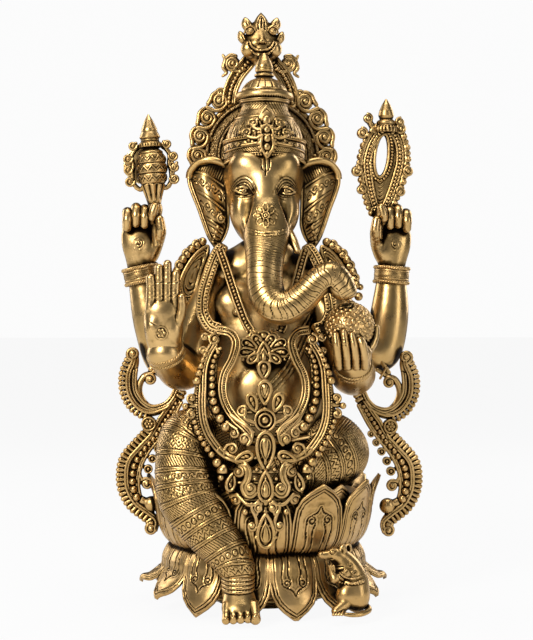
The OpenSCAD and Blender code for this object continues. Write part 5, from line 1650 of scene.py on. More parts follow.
def rolled(c, x, z, r, depth, start, hand, wire=1.4, lead=None, turns=1.15):
    """A rolled scroll on a small round ground, with a bead in its eye."""
    c.disc([x, depth(x, z) + 3.2, z], r * 0.9, 1.5, 0.6)
    scroll(c, (x, z), r, depth, turns, start, hand, wire, lead=lead, eye=False)
    c.ball([x, depth(x, z) - 0.2, z], [wire * 1.5, wire * 1.35, wire * 1.5], 0.4)


def garland(side):
    xs = (-98, 0) if side < 0 else (-12, 88)
    c = Clay((xs[0], -122, 148), (xs[1], -74, 306), 0.5)
    m = -side

    def fx(rows):
        """Rows for the right garland, counted from its hanging line, placed on this side."""
        q = np.array(rows, float)
        q[:, 0] = GX + m * q[:, 0]
        return q

    d = front_depth
    strap(c, fx(OUTER), d, 4.2, (-2.9, 0.2, 2.9), 1.05, (1.6, 0.6, 1.9))
    strap(c, fx(INNER), d, 4.6, (-3.4, -0.4, 3.4), 1.05, (1.5, 0.75, 2.2))
    # pearls between the ribbons and outside them
    graded(c, fx([[-44, 272], [-50, 262], [-52.4, 250], [-52.6, 238], [-52.4, 228], [-51, 218], [-47.6, 208],
                  [-42, 198], [-35.6, 189.5]]), 2.1, 5.6, d, -0.5)
    graded(c, fx([[-57.5, 270], [-61.5, 261], [-64.4, 251], [-67.4, 241], [-69.4, 232]]), 2.3, 5.0, d, -0.2)
    graded(c, fx([[-70, 199], [-67.6, 192], [-64.6, 184.5], [-60.6, 177], [-55.4, 169.5], [-50.6, 163.5]]),
           2.6, 3.6, d, 0.0)
    pearls(c, [[*fx([[-47.6, 158.4]])[0], 4.8], [*fx([[-41.8, 150.6]])[0], 6.2]], d, 0.2)
    # the side ornament: two scrolls with a pearl between them
    for (x, z), start in zip(fx([[-73.0, 222.6], [-73.0, 206.6]]), (-90, 90)):
        rolled(c, x, z, 5.0, d, start if m > 0 else 180 - start, m if start > 0 else -m, 1.3)
    pearls(c, [[*fx([[-79.4, 214.6]])[0], 3.4]], d, 0.4)
    y = d(-70, 215) + 2.5
    c.rod([GX + m * -66, y, 215], [GX + m * -78, y, 215], 2.6, 2.4, 1.0)
    # the big scroll and its small neighbours at the chest
    q = fx([[-50, 281], [-59.5, 283.5], [-60.6, 270], [-47, 271]])
    rolled(c, *q[0], 6.0, d, 90, m, 1.5)
    rolled(c, *q[1], 4.2, d, 0, m, 1.2)
    rolled(c, *q[2], 4.2, d, 180, -m, 1.2)
    pearls(c, [[*q[3], 2.2]], d)
    # a fine chain of seed pearls along the outer ribbon
    p = offset_path(even_path(fx(OUTER), 1.5), -5.4 * m)
    bead_row(c, even_path(p, 2.7)[10:-8], d, 0.6, 1.0, 0.4)
    # webs that carry the pearls
    pts = even_path(fx([[-46, 271], [-51.4, 262], [-53, 246], [-52.6, 229], [-49.4, 213], [-41.5, 197]]), 3.0)
    for off in (-3.2, 0, 3.2):
        wire_along(c, offset_path(pts, off), d, 4.4, 2.4, 1.5)
    pts = even_path(fx([[-59, 268], [-63.4, 252], [-67, 238], [-69, 222], [-69, 206], [-66, 192], [-58, 174],
                        [-47, 159], [-40, 150]]), 3.0)
    wire_along(c, pts, d, 3.4, 2.0, 1.2)
    return c.mesh()


ornament("right_garland_beads", garland(-1), "right_garland")
ornament("left_garland_beads", garland(1), "left_garland")


def pendant():
    """The great pendant: drops down the middle, and scrolls, drops and pearls in mirrored pairs."""
    c = Clay((-62, -138, 68), (52, -98, 250), 0.5)
    d = front_depth

    def middle_jewel(z, w, h, turn, rim=1.6):
        jewel(c, GX, z, w, h, d, turn, rim)

    def jewels(x, z, w, h, turn):
        jewel(c, GX + x, z, w, h, d, turn, 1.6)
        jewel(c, GX - x, z, w, h, d, -turn, 1.6)

    def rolls(x, z, r, start, hand, wire, lead=None, turns=1.15):
        for m in (1, -1):
            path = None
            if lead is not None:
                path = smooth_path([[GX + m * a, b] for a, b in lead], 6 * len(lead))
            rolled(c, GX + m * x, z, r, d, start if m > 0 else 180 - start, hand * m, wire, path, turns)

    # the pendant's crown: three drops, scrolls, and the ringed medallion
    middle_jewel(228.5, 7.2, 11.5, 180)
    jewels(-12.4, 218.5, 5.2, 9.0, 160)
    rolls(-22.3, 209.6, 5.8, 60, 1, 1.7, [[-11, 199], [-17, 201.0], [-20.5, 203.6]], 1.3)
    y = d(GX, 201)
    c.ball([GX, y + 1.8, 201], [9.5, 2.4, 10.2], 1.0)
    for r, wire in ((10.2, 1.35), (6.2, 1.0)):
        c.cord(lay(ring_rows(GX, 201, r, 41, 1.06), y - 0.4), wire, 0.3)
    c.ball([GX, y - 0.6, 201], [3.2, 1.9, 3.4], 0.4)
    # the three great drops down the middle
    middle_jewel(170.5, 10.0, 19.0, 180)
    middle_jewel(135.8, 8.2, 14.8, 0, 1.5)
    middle_jewel(92.5, 9.4, 16.5, 0)
    for z, r in ((151.2, 2.2), (119.2, 2.4), (190.0, 2.4), (217.4, 2.0)):
        c.ball([GX, d(GX, z) + 0.8, z], r, 0.8)
    # scrolls and side drops on the level of the first great drop
    rolls(-20.6, 182.5, 6.4, -60, 1, 2.1, [[-34, 206], [-26, 200], [-16, 194], [-13, 188], [-14.5, 180]])
    rolls(-30.8, 187.8, 4.3, 0, -1, 1.6, [[-38, 199], [-33.5, 195.5], [-28, 192]])
    rolls(-32.4, 172.3, 5.2, 100, -1, 1.8, [[-41, 166], [-40, 172], [-37.5, 176]])
    jewels(-21.5, 164.7, 4.9, 8.6, -108)
    for m in (1, -1):
        # the outer ribbon swings in and rolls up beside the second drop
        path = smooth_path([[-46, 172], [-38, 165.2], [-28, 161.4], [-20, 156.5], [-17, 150], [-18.5, 142.5],
                            [-21.8, 136], [-19.5, 129.2], [-14.5, 127.6], [-10.4, 131.4]], 60)
        path[:, 0] = GX + m * path[:, 0]
        for off in (-1.9, 1.9):
            wire_along(c, offset_path(path, off), d, -0.2, 1.6)
        wire_along(c, path, d, 1.6, 2.6, 1.0)
    rolls(-15.2, 134.4, 5.6, 250, 1, 2.0)
    rolls(-26.6, 150.2, 5.6, 80, -1, 2.0, [[-19, 157], [-23, 157.4]])
    jewels(-33.6, 139.6, 4.8, 8.8, 14)
    # the waving ribbon under them
    rolls(-29.2, 121.8, 5.4, 150, -1, 2.0, [[-7.5, 121], [-12, 118], [-18, 118.4], [-23, 122.6],
                                            [-28, 127.6]])
    rolls(-6.9, 114.6, 5.0, 60, 1, 1.8, [[-14, 119], [-13, 112], [-9, 108.6]])
    rolls(-13.6, 97.2, 4.6, -20, -1, 1.8, [[-12.6, 112], [-9.6, 105], [-8.8, 99]])
    for x, z, r in ((-20.4, 110.8, 3.3), (-41.5, 152.6, 4.6), (-43.6, 143.5, 3.4), (-9.6, 86, 2.0),
                    (-8.8, 152.6, 2.0),
                    (-36.6, 129.6, 2.4), (-10.6, 143.4, 1.9)):
        pearls(c, [[GX + x, z, r], [GX - x, z, r]], d)

    # thin webs behind, so that the jewels hold together
    def web(x0, z0, x1, z1, r0, r1):
        c.rod([x0, d(x0, z0) + 3.6, z0], [x1, d(x1, z1) + 3.6, z1], r0, r1, 1.2)

    for z0, x0 in ((209, 19), (196, 14), (182, 18), (164, 22), (150, 24), (139, 30), (122, 28), (111, 18),
                   (97, 13)):
        web(GX - x0, z0, GX, z0, 1.7, 2.0)
        web(GX + x0, z0, GX, z0, 1.7, 2.0)
    c.rod([GX, d(GX, 225) + 3.4, 225], [GX, d(GX, 150) + 3.4, 150], 2.2, 2.2, 1.2)
    c.rod([GX, d(GX, 150) + 3.4, 150], [GX, d(GX, 84) + 3.4, 84], 2.2, 2.2, 1.2)
    return c.mesh()


ornament("garland_pendant_jewels", pendant(), "garland_pendant")


# ---------------------------------------------------------------- sashes, necklace, shoulder plates
def table_depth(zs, ys):
    o = np.argsort(zs)
    zz, yy = np.array(zs, float)[o], np.array(ys, float)[o]
    return lambda x, z: float(np.interp(z, zz, yy))


def sash(side):
    c = Clay((-84, -90, 272) if side < 0 else (26, -90, 272), (-26, -8, 392) if side < 0 else (84, -8, 392),
             0.55)
    rows = np.array([[45, 379], [52, 368], [59, 350], [65.5, 328], [66.5, 309], [60, 295.5],
                     [50, 291]]) * [side, 1]
    d = table_depth([384, 378, 350, 325, 306, 292, 286], [-18, -24, -40, -50, -60, -70, -78])
    strap(c, rows, d, 6.6, (-5.4, -1.6, 1.2, 5.4), 1.05, None, 3.0)
    p = even_path(rows, 1.5)
    bead_row(c, even_path(offset_path(p, -3.3 * side), 3.9), d, -0.5, 1.9, 0.3)
    bead_row(c, even_path(offset_path(p, 3.6 * side), 3.1), d, -0.4, 1.4, 0.3)
    return c.mesh()


ornament("right_sash_beads", sash(-1), "right_sash")
ornament("left_sash_beads", sash(1), "left_sash")


def necklace():
    c = Clay((-58, -100, 240), (50, -22, 388), 0.5)
    d = table_depth([384, 374, 344, 318, 298, 288, 244], [-24, -32, -48, -60, -73, -82, -90])
    for s in (-1, 1):
        rows = np.array([[45, 374], [40.5, 361], [34, 340], [27, 318], [20.5, 300], [14, 289]]) * [s, 1] - [3,
                                                                                                            0]
        strap(c, rows, d, 4.4, (-3.6, 3.6), 1.1, (0.0, 1.8, 3.8), 2.4)
    x0 = -5.0

    def e(x, z):
        return d(x, z) - 1.2

    # the flower: a drop in the middle, leaves fanned on both sides and a round drop below
    c.ball([x0, -80, 270], [19, 4, 13], 2.0)
    c.ball([x0, -82, 256], [7, 4, 8], 2.0)
    jewel(c, x0, 267, 6.6, 10.8, e, 0, 1.25)
    jewel(c, x0, 252.0, 5.8, 7.8, e, 180, 1.25)
    c.disc([x0, e(x0, 284) + 1.5, 284], 6.0, 2.4, 0.8)
    c.ball([x0, e(x0, 284) - 0.6, 284], [2.8, 1.8, 2.8], 0.4)
    wire_along(c, ring_rows(x0, 284, 5.4, 25), e, -0.6, 1.1, 0.3)
    for s in (-1, 1):
        for a, r, w, h in ((30, 11.0, 4.6, 7.4), (63, 14.6, 4.9, 7.8), (96, 15.2, 4.6, 7.6),
                           (130, 12.4, 4.0, 6.2)):
            t = math.radians(a)
            jewel(c, x0 + s * r * math.sin(t), 270 + r * math.cos(t) * 0.85, w, h, e, s * a + 180, 0.95)
        for a, r, q in ((50, 20.5, 1.6), (82, 24, 1.7), (116, 21, 1.5), (12, 18, 1.5), (150, 12.5, 1.5)):
            t = math.radians(a)
            x, z = x0 + s * r * math.sin(t), 270 + r * math.cos(t) * 0.9
            c.ball([x, e(x, z) + 0.6, z], q, 0.5)
        scroll(c, (x0 + s * 10, 285.4), 3.8, e, 1.4, 90, s, 1.1)
    t = np.linspace(-1.5, 1.5, 40)
    wire_along(c, np.stack([x0 + 19.5 * np.sin(t), 270 + 18.5 * np.cos(t)], 1), e, 0.0, 0.9, 0.3)
    # the flower is then spread a little from its middle
    v, f = c.mesh()
    w = np.clip((297 - v[:, 2]) / 12, 0, 1)
    v[:, 0] += 0.13 * w * (v[:, 0] - x0)
    v[:, 2] += 0.09 * w * (v[:, 2] - 270)
    return v, f


ornament("necklace_flower", necklace(), "necklace")


def shoulder_depth(x, z):
    return float(np.interp(abs(x), [60, 70, 88, 100], [-22, -24, -26.5, -26]))


def shoulder_plate(s):
    """A rimmed leaf plate on the shoulder, edged with pearls and scrolls."""
    c = Clay((54, -38, 308) if s > 0 else (-116, -38, 308), (116, -2, 398) if s > 0 else (-54, -2, 398), 0.5)
    d = shoulder_depth
    edge = smooth_path([[s * 62, 379], [s * 72, 372], [s * 81, 360.5], [s * 88, 346.5], [s * 90.5, 333],
                        [s * 86, 321.5], [s * 77, 322], [s * 72, 335], [s * 68, 351], [s * 63, 365],
                        [s * 60, 376]], 72, closed=True)
    mid = np.array([s * 77, 348.0])

    def loop(share, back, wire, k):
        """A wire round the plate, at a share of the way from its middle to its edge."""
        ring = mid + (edge - mid) * share
        wire_along(c, np.vstack([ring, ring[:1]]), d, back, wire, k)

    for share in (0.2, 0.45, 0.7, 0.9):
        loop(share, 3.2, 3.0, 1.5)
    loop(1.0, 0.2, 1.7, 0.4)
    loop(0.8, -0.2, 0.9, 0.3)
    bead_row(c, even_path(mid + (edge - mid) * 0.9, 2.7, closed=True)[:-1], d, -0.2, 0.9, 0.2)
    loop(0.5, 0.3, 1.0, 0.3)
    row = even_path([[s * 66, 384], [s * 74, 379], [s * 82, 371.5], [s * 89, 361], [s * 94, 349.5],
                     [s * 97, 338]], 6.9)
    wire_along(c, row, d, 4.6, 4.6, 1.5)
    for k, (x, z) in enumerate(row):
        if k % 2:
            rolled(c, x, z, 4.8, lambda a, b: d(a, b) + 0.8, 90, -s, 1.6)
        else:
            c.ball([x, d(x, z) + 1.4, z], 4.3, 0.6)
            c.ball([x, d(x, z) - 2.4, z], [1.9, 1.2, 1.9], 0.3)
    for x, z, r in ((99.6, 326, 4.6), (92.5, 317.5, 4.2), (83, 315.5, 3.2), (75, 318.5, 2.6),
                    (101.5, 336, 3.4)):
        c.ball([s * x, d(x, z) + 2.4, z], r, 0.8)
        c.ball([s * x, d(x, z) - 0.6, z], r * 0.45, 0.3)
    return c.mesh()


ornament("right_shoulder_leaf", shoulder_plate(-1), "right_shoulder_plate")
ornament("left_shoulder_leaf", shoulder_plate(1), "left_shoulder_plate")


# ---------------------------------------------------------------- side scroll brackets
# rows (x, z, width) of the lower band and of the upper curve
BAND = [[99, 213, 14], [112, 192, 17], [125, 176, 19], [137, 162, 21], [147, 147, 25], [150, 132, 24],
        [149, 118, 22],
        [143, 104, 18], [132, 93, 14], [124, 84, 11], [126, 75, 10]]
CURVE = [[146, 266, 9], [146, 255, 13], [150, 240, 16], [149, 222, 16], [140, 208, 16], [127, 202, 14],
         [113, 206, 11],
         [104, 214, 11], [99, 224, 11]]


def bracket(side):
    """The side bracket: a frilled band and curve, rolled ends, pearls, buttons and a medallion."""
    drop = -2.0 if side > 0 else 2.0
    c = Clay((84, -10, 60 + drop), (172, 14, 280 + drop), 0.5)
    y = 2.0
    half_t = 2.4

    def slab(rows):
        q = even_path(rows, 2.0)
        for f in np.linspace(-1, 1, 7):
            c.cord(lay(offset_path(q[:, :2], f * (q[:, 2] / 2 - half_t - 1.0)), y), half_t, 1.0)
        return q

    def ridge(q, off, wire, lift, start=0.0, end=1.0):
        """A raised line at an offset from the middle, between two shares of the slab's length."""
        n = len(q)
        c.cord(lay(offset_path(q[:, :2], off)[int(n * start):int(n * end)], y - lift), wire, 0.5)

    def frill(q, inset, rib, knob, shown):
        """Short ribs with knobs along the outer edge, where shown(x, z) holds."""
        rows = even_path(offset_path(q[:, :2], q[:, 2] / 2 - inset), 5.1)
        for (x, z), (tx, tz) in zip(rows, unit(np.gradient(rows, axis=0))):
            if shown(x, z):
                c.rod([x + tz * 2.6, y - 2.0, z - tx * 2.6], [x - tz * rib, y - 1.4, z + tx * rib], 1.7, 2.5,
                      0.25)
                c.ball([x - tz * knob, y - 0.9, z + tx * knob], [2.8, 3.2, 2.8], 0.4)

    # the lower band: frill, ribbon, graded pearls, ribbon
    q = slab(BAND)
    w = q[:, 2]
    grow = np.clip((190 - q[:, 1]) / 16, 0, 1)
    outer_r, inner_r = w / 2 - 2.2 - 5.2 * grow, -w / 2 + 2.2
    ridge(q, outer_r + 0.6, 1.6, 2.6)
    ridge(q, outer_r - 1.8, 1.3, 2.7)
    ridge(q, inner_r, 1.6, 2.6, 0, 0.74)
    ridge(q, inner_r + 2.3, 1.2, 2.7, 0, 0.72)
    run = even_path(offset_path(q[:, :2], 0.5 * (outer_r + inner_r) - 0.2), 0.5)
    at = 8
    while at < len(run) * 0.78:
        r = 2.1 + 3.1 * at / len(run)
        x, z = run[at]
        c.ball([x, y - 3.0, z], r, 0.3)
        at += int(round((2 * r + 0.6) / 0.5))
    frill(q, 2.0, 1.6, 2.8, lambda x, z: 82 <= z <= 182)
    # the upper curve with its own frill and a double rib inside
    q = slab(CURVE)
    w = q[:, 2]
    ridge(q, np.clip(w / 2 - 4.8, 1.5, 5), 1.8, 2.6, 0, 0.86)
    ridge(q, np.clip(w / 2 - 7.6, -1, 5), 1.0, 2.9, 0, 0.86)
    ridge(q, -w / 2 + 1.8, 1.6, 2.6, 0.18)
    ridge(q, -w / 2 + 4.6, 1.0, 2.9, 0.2)
    frill(q, 0.6, 1.4, 2.4, lambda x, z: z <= 260 and (x >= 133 or z >= 215))

    def end_roll(x, z, r, start, hand, wire, turns, ground, lead=None):
        """A rolled scroll on a thick round ground of radius and depth."""
        rolled(c, x, z, r, lambda a, b: y - 2.6, start, hand, wire, lead, turns)
        c.ball([x, y, z], [ground[0], ground[1], ground[0]], 1.0)

    end_roll(147, 263, 6.8, -80, 1, 2.0, 1.6, (6.6, 4.2))
    arm_rows = smooth_path([[131, 206], [137, 213], [140.5, 222], [139.6, 231], [135, 238.6], [128, 241]], 24)
    c.cord(lay(arm_rows, y), 3.4, 1.0)
    end_roll(128.6, 235.6, 6.2, 40, 1, 1.9, 1.5, (6.0, 4.0))
    # the strap leaves that tie the curl to the forearm
    c.rod([126, y, 243], [116, y - 1, 249], 3.2, 2.2, 1.2)
    c.rod([128, y, 246], [121, y, 258], 3.0, 2.2, 1.2)
    c.rod([119, y - 2, 240], [125, y - 3, 251], 1.4, 1.4, 0.5)
    # a round medallion with a rosette
    c.disc([130, y, 188], 8.2, 4.4, 0.8, soft=1.0)
    c.cord(lay(ring_rows(130, 188, 6.8, 33), y - 4.4), 0.95, 0.3)
    for x, z in ring_rows(130, 188, 3.3, 7)[:-1]:
        c.ball([x, y - 4.6, z], [1.5, 0.9, 1.5], 0.3)
    c.ball([130, y - 4.8, 188], 1.4, 0.3)
    # ringed buttons down the inner side, the inner scroll, the big ball and the end scroll
    for x, z, r in ((109, 180, 3.6), (114.6, 170.6, 4.0), (120.4, 161, 4.3), (126.2, 150.6, 4.6),
                    (130.6, 139.6, 4.8)):
        c.disc([x, y, z], r, 3.2, 0.6, soft=0.8)
        c.cord(lay(ring_rows(x, z, r * 0.8, 25), y - 3.2), 0.9, 0.3)
        c.ball([x, y - 3.2, z], r * 0.36, 0.3)
        c.rod([x, y, z], [x + 7, y, z + 3.4], 2.2, 2.2, 0.8)
    lead = smooth_path([[139.6, 141], [139.4, 134], [137.4, 129]], 6)
    end_roll(132, 124, 6.2, 60, 1, 1.8, 1.4, (6.0, 3.8), lead)
    c.rod([132, y, 124], [141, y, 128], 3.0, 3.4, 1.5)
    c.ball([127, y, 102], [8.6, 7.4, 8.6], 1.0)
    c.rod([127, y, 102], [137, y, 106], 4.0, 4.5, 1.5)
    end_roll(127.4, 75.8, 6.6, 100, -1, 1.8, 1.6, (6.3, 4.2))
    v, f = c.mesh()
    return outward((v + v3(0, 0, drop)) * v3(side, 1, 1) + v3(7, 0, 0), f)


ornament("right_bracket_scroll", bracket(-1), "right_scroll_bracket")
ornament("left_bracket_scroll", bracket(1), "left_scroll_bracket")


# ---------------------------------------------------------------- the mouse
def mouse():
    c = Clay((38, -146, 4), (112, -84, 92), 0.5)
    c.limb([[69, -112, 65, 8, 9, 7], [76, -112, 55, 11.5, 10.5, 11], [83, -113, 40, 13.5, 12.5, 14.5],
            [86, -115, 23, 12.5, 14, 14.5]], 16, 4)
    # head, muzzle and cheeks
    c.ball([66, -114, 66], [9, 9, 8], 3)
    c.rod([64, -115, 66], [50.5, -118, 66.5], 6.4, 3.4, 3)
    c.ball([49.8, -118.4, 67.6], [2.6, 3.0, 2.3], 0.8)
    c.cord([[50, -121.6, 64.2], [55, -121.4, 63.0], [61, -121.6, 63.4]], 0.8, 0.5, cut=True)
    # the eye and its lid
    c.ball([61.5, -121.4, 70.0], [2.2, 1.6, 2.0], 0.3)
    c.cord([[58.6, -121.6, 71.4], [61.5, -122.4, 73.0], [64.6, -121.8, 71.6]], 0.8, 0.3)
    # ears
    for a, b in (((71, -117, 68), (73, -119, 76)), ((76, -110, 67), (81, -108, 75.5))):
        x, y, z = 0.5 * (v3(*a) + v3(*b))
        c.ball([x, y, z - 0.6], [4.2, 3.4, 6.0], 1.5)
        c.ball([x - 0.4, b[1] - 3.8, b[2] - 3.8], [2.0, 2.0, 3.4], 1.0, cut=True)
    # forelegs, paws and toes
    c.rod([74, -122, 48], [63, -126, 44], 5.0, 4.0, 2.5)
    c.rod([63, -126, 44], [60, -124, 52], 4.0, 3.2, 1.5)
    for k in range(3):
        c.rod([59.6 + 1.6 * k, -126, 52], [57.6 + 2.2 * k, -127, 57], 1.3, 1.2, 0.4)
    c.ball([76, -122, 26], [11, 9, 13], 4)
    c.rod([72, -126, 18], [64, -131, 13], 6.2, 4.8, 2.5)
    for k in range(4):
        c.rod([63 + 2.6 * k, -132, 13.0], [60.6 + 2.9 * k, -136.5, 10.6], 1.8, 1.6, 0.5)
    # tail round the haunch
    tail = smooth_path([[94, -112, 16], [98, -120, 12], [90, -129, 9.6], [80, -133, 9.4], [72, -134, 10.4]],
                       26)
    c.cord(np.column_stack([tail, np.linspace(3.2, 1.6, 26)]), 3, 1.0)
    # collar and a saddle cloth with a beaded hem
    for dz, wire in ((0, 1.5), (3.2, 1.0)):
        t = np.linspace(0, 2 * PI, 37)
        ring = [73.5 + 10.6 * np.cos(t), -112.5 + 10.4 * np.sin(t), 54.5 + dz + 2.2 * np.cos(t)]
        c.cord(np.stack(ring, 1), wire, 0.4)
    for k in range(12):
        t = math.radians(180 + 15 * k)
        x, z = 80 + 12.5 * math.cos(t), 42 + 3.2 * math.sin(t)
        for place in c.front_rows([[x, z]]):
            c.ball(place, 1.3, 0.4)
    along_front(c, [[68, 46], [74, 41], [82, 39.5], [91, 42]], 1.1)
    along_front(c, [[68, 50], [74, 45.4], [82, 44], [91, 46.5]], 0.8)
    for x, z in ((75, 51), (83, 50), (79, 57)):
        c.cord(c.front_rows(curl((x, z), 2.8, 1.3, 90, 1)), 0.55, 0.3)
    return c.mesh()


piece("mouse_body", mouse(), ["mouse"], "lotus_brass", "lotus")


# ---------------------------------------------------------------- surface patina, painted shade and materials
def edges_of(f):
    """Every edge of the faces once, as pairs of vertex numbers."""
    pairs = []
    for k in range(4):
        a = f[:, k]
        b = f[:, (k + 1) % 4]
        if k == 2:
            b = np.where(f[:, 3] < 0, f[:, 0], b)
        ok = a >= 0
        pairs.append(np.stack([a[ok], b[ok]], 1))
    e = np.sort(np.vstack(pairs), 1)
    key = np.unique(e[:, 0] * (e.max() + 1) + e[:, 1])
    return np.stack([key // (e.max() + 1), key % (e.max() + 1)], 1)


def cavity_of(v, f, n):
    """How far each vertex lies below its smoothed surroundings, in mm: fine and broad."""
    e = edges_of(f)
    deg = np.bincount(e[:, 0], minlength=len(v)) + np.bincount(e[:, 1], minlength=len(v))
    deg = np.maximum(deg, 1)[:, None]
    s = v.copy()
    fine = None
    for step in range(14):
        m = np.empty_like(s)
        for j in range(3):
            m[:, j] = np.bincount(e[:, 0], s[e[:, 1], j], len(v)) + np.bincount(e[:, 1], s[e[:, 0], j],
                                                                                len(v))
        s = 0.35 * s + 0.65 * m / deg
        if step == 2:
            fine = ((s - v) * n).sum(1)
    broad = ((s - v) * n).sum(1)
    return fine, broad


def crowding(pieces):
    """A coarse grid of how much surface is near each place, with its low corner, cell and size."""
    cell = 3.0
    low = np.array([-190.0, -160.0, -12.0])
    size = np.array([130, 78, 222])
    grid = np.zeros(tuple(size), np.float32)
    for p in pieces:
        i = np.clip(((p["v"] - low) / cell).astype(int), 0, size - 1)
        grid[i[:, 0], i[:, 1], i[:, 2]] = 1.0
    for _ in range(3):
        for ax in range(3):
            grid = (np.roll(grid, 1, ax) + 2 * grid + np.roll(grid, -1, ax)) / 4
    return grid, low, cell, size


def sample(grid, low, cell, size, p):
    """The grid's values at points p, blended between its cells."""
    q = np.clip((p - low) / cell - 0.5, 0, size - 1.001)
    i = q.astype(int)
    f = q - i
    total = np.zeros(len(p))
    for dx in (0, 1):
        for dy in (0, 1):
            for dz in (0, 1):
                w = np.abs(1 - dx - f[:, 0]) * np.abs(1 - dy - f[:, 1]) * np.abs(1 - dz - f[:, 2])
                total += w * grid[i[:, 0] + dx, i[:, 1] + dy, i[:, 2] + dz]
    return total


def material(name, gold, dark, rough, stipple=0.0):
    """Metal that turns from gold to dark where the mesh's attribute of patina and painted shade and some
    noise say so.
    """
    mat = bpy.data.materials.new(name)
    mat.use_nodes = True
    t = mat.node_tree
    t.nodes.clear()
    out = t.nodes.new("ShaderNodeOutputMaterial")
    bsdf = t.nodes.new("ShaderNodeBsdfPrincipled")
    t.links.new(bsdf.outputs["BSDF"], out.inputs["Surface"])
    bsdf.inputs["Metallic"].default_value = 1.0
    coord = t.nodes.new("ShaderNodeTexCoord")

    def noise(scale, detail=3.0, rough_=0.55):
        n = t.nodes.new("ShaderNodeTexNoise")
        n.inputs["Scale"].default_value = scale
        n.inputs["Detail"].default_value = detail
        n.inputs["Roughness"].default_value = rough_
        t.links.new(coord.outputs["Object"], n.inputs["Vector"])
        return n

    def remap(value, a, b, c, d):
        r = t.nodes.new("ShaderNodeMapRange")
        t.links.new(value, r.inputs["Value"])
        for key, val in (("From Min", a), ("From Max", b), ("To Min", c), ("To Max", d)):
            r.inputs[key].default_value = val
        return r.outputs["Result"]

    def total(a, b):
        m = t.nodes.new("ShaderNodeMath")
        m.operation = "ADD"
        for k, val in enumerate((a, b)):
            if isinstance(val, (int, float)):
                m.inputs[k].default_value = val
            else:
                t.links.new(val, m.inputs[k])
        m.use_clamp = True
        return m.outputs["Value"]

    def mix(fac, a, b):
        m = t.nodes.new("ShaderNodeMix")
        m.data_type = "RGBA"
        t.links.new(fac, m.inputs["Factor"])
        for key, val in ((6, a), (7, b)):
            if isinstance(val, tuple):
                m.inputs[key].default_value = val + (1.0,)
            else:
                t.links.new(val, m.inputs[key])
        return m.outputs[2]

    patina_and_shade = t.nodes.new("ShaderNodeAttribute")
    patina_and_shade.attribute_name = "patina_and_shade"
    broad = noise(11.0, 4.0)
    fine = noise(208.0, 3.0)
    patch = remap(broad.outputs["Fac"], 0.35, 0.7, 0.0, 0.10)
    speck = remap(fine.outputs["Fac"], 0.42, 0.68, -0.06, 0.12)
    patina_and_shade_level = total(total(patina_and_shade.outputs["Fac"], patch), speck)
    pale = tuple(min(1.0, c * 1.12 + 0.03) for c in gold)
    base = mix(remap(noise(34.0, 3.0).outputs["Fac"], 0.38, 0.66, 0.0, 1.0), gold, pale)
    mid = tuple(0.36 * a + 0.64 * b for a, b in zip(gold, dark))
    mid = (mid[0] * 0.97, mid[1] * 0.93, mid[2] * 0.80)
    # patina and painted shade: the colour goes from gold through a mid tone to dark
    half = mix(remap(patina_and_shade_level, 0.13, 0.49, 0.0, 1.0), base, mid)
    tone = mix(remap(patina_and_shade_level, 0.46, 0.86, 0.0, 1.0), half, dark)
    t.links.new(tone, bsdf.inputs["Base Color"])
    ra = remap(patina_and_shade_level, 0.1, 0.9, rough[0], rough[1])
    rb = remap(noise(70.0, 4.0).outputs["Fac"], 0.3, 0.75, -0.05, 0.08)
    t.links.new(total(ra, rb), bsdf.inputs["Roughness"])
    bump = t.nodes.new("ShaderNodeBump")
    bump.inputs["Strength"].default_value = 0.35
    bump.inputs["Distance"].default_value = 0.0004
    t.links.new(noise(160.0, 4.0, 0.6).outputs["Fac"], bump.inputs["Height"])
    last = bump
    if stipple > 0:
        vor = t.nodes.new("ShaderNodeTexVoronoi")
        vor.inputs["Scale"].default_value = stipple
        t.links.new(coord.outputs["Object"], vor.inputs["Vector"])
        second = t.nodes.new("ShaderNodeBump")
        second.inputs["Strength"].default_value = 0.8
        second.inputs["Distance"].default_value = 0.0009
        second.invert = True
        t.links.new(vor.outputs["Distance"], second.inputs["Height"])
        t.links.new(bump.outputs["Normal"], second.inputs["Normal"])
        last = second
    t.links.new(last.outputs["Normal"], bsdf.inputs["Normal"])
    return mat


# the colour of the patina in hollows and of the painted shade between parts
DARK = (0.014, 0.0075, 0.003)
SHADES = {
    "skin": material("polished_brass", (0.475, 0.303, 0.113), DARK, (0.30, 0.58)),
    "ornament": material("worked_brass", (0.47, 0.296, 0.108), DARK, (0.33, 0.62)),
    "lotus": material("lotus_brass", (0.465, 0.290, 0.106), DARK, (0.33, 0.62)),
    "stipple": material("stippled_brass", (0.26, 0.165, 0.065), DARK, (0.38, 0.65), stipple=520.0),
    "pale": material("pale_brass", (0.66, 0.50, 0.24), (0.10, 0.06, 0.025), (0.32, 0.55)),
    "plate": material("turned_brass_plate", (0.40, 0.27, 0.10), (0.05, 0.03, 0.012), (0.42, 0.62)),
    "steel": material("zinc_steel", (0.55, 0.55, 0.53), (0.12, 0.11, 0.10), (0.32, 0.5)),
}

NEAR, FARTHER = 7.0, 12.0       # how far in front of the surface, in mm, neighbours are looked for, for the painted shade between parts
AIR = crowding(PIECES)


def patina_and_shade_of(v, f):
    """How dark each vertex is, from 0 on open surfaces to 1 in hollows and narrow gaps: patina in the
    grooves, and painted shade where other surfaces stand close in front.
    """
    n = normals_of(v, f)
    fine, broad = cavity_of(v, f, n)
    near, farther = sample(*AIR, v + n * NEAR), sample(*AIR, v + n * FARTHER)
    # patina in the grooves and hollows of the surface itself
    patina_and_shade = 0.14 + np.clip(fine * 6.4, -0.35, 0.85) + np.clip(broad * 1.6, -0.30, 0.75)
    # painted shade: darker where surfaces stand close in front, as in the gaps between parts
    patina_and_shade = patina_and_shade + np.clip(near * 2.4 - 0.30, 0, 0.75) + np.clip(farther * 1.7 - 0.2, 0, 0.50)
    return np.clip(patina_and_shade, 0, 1)


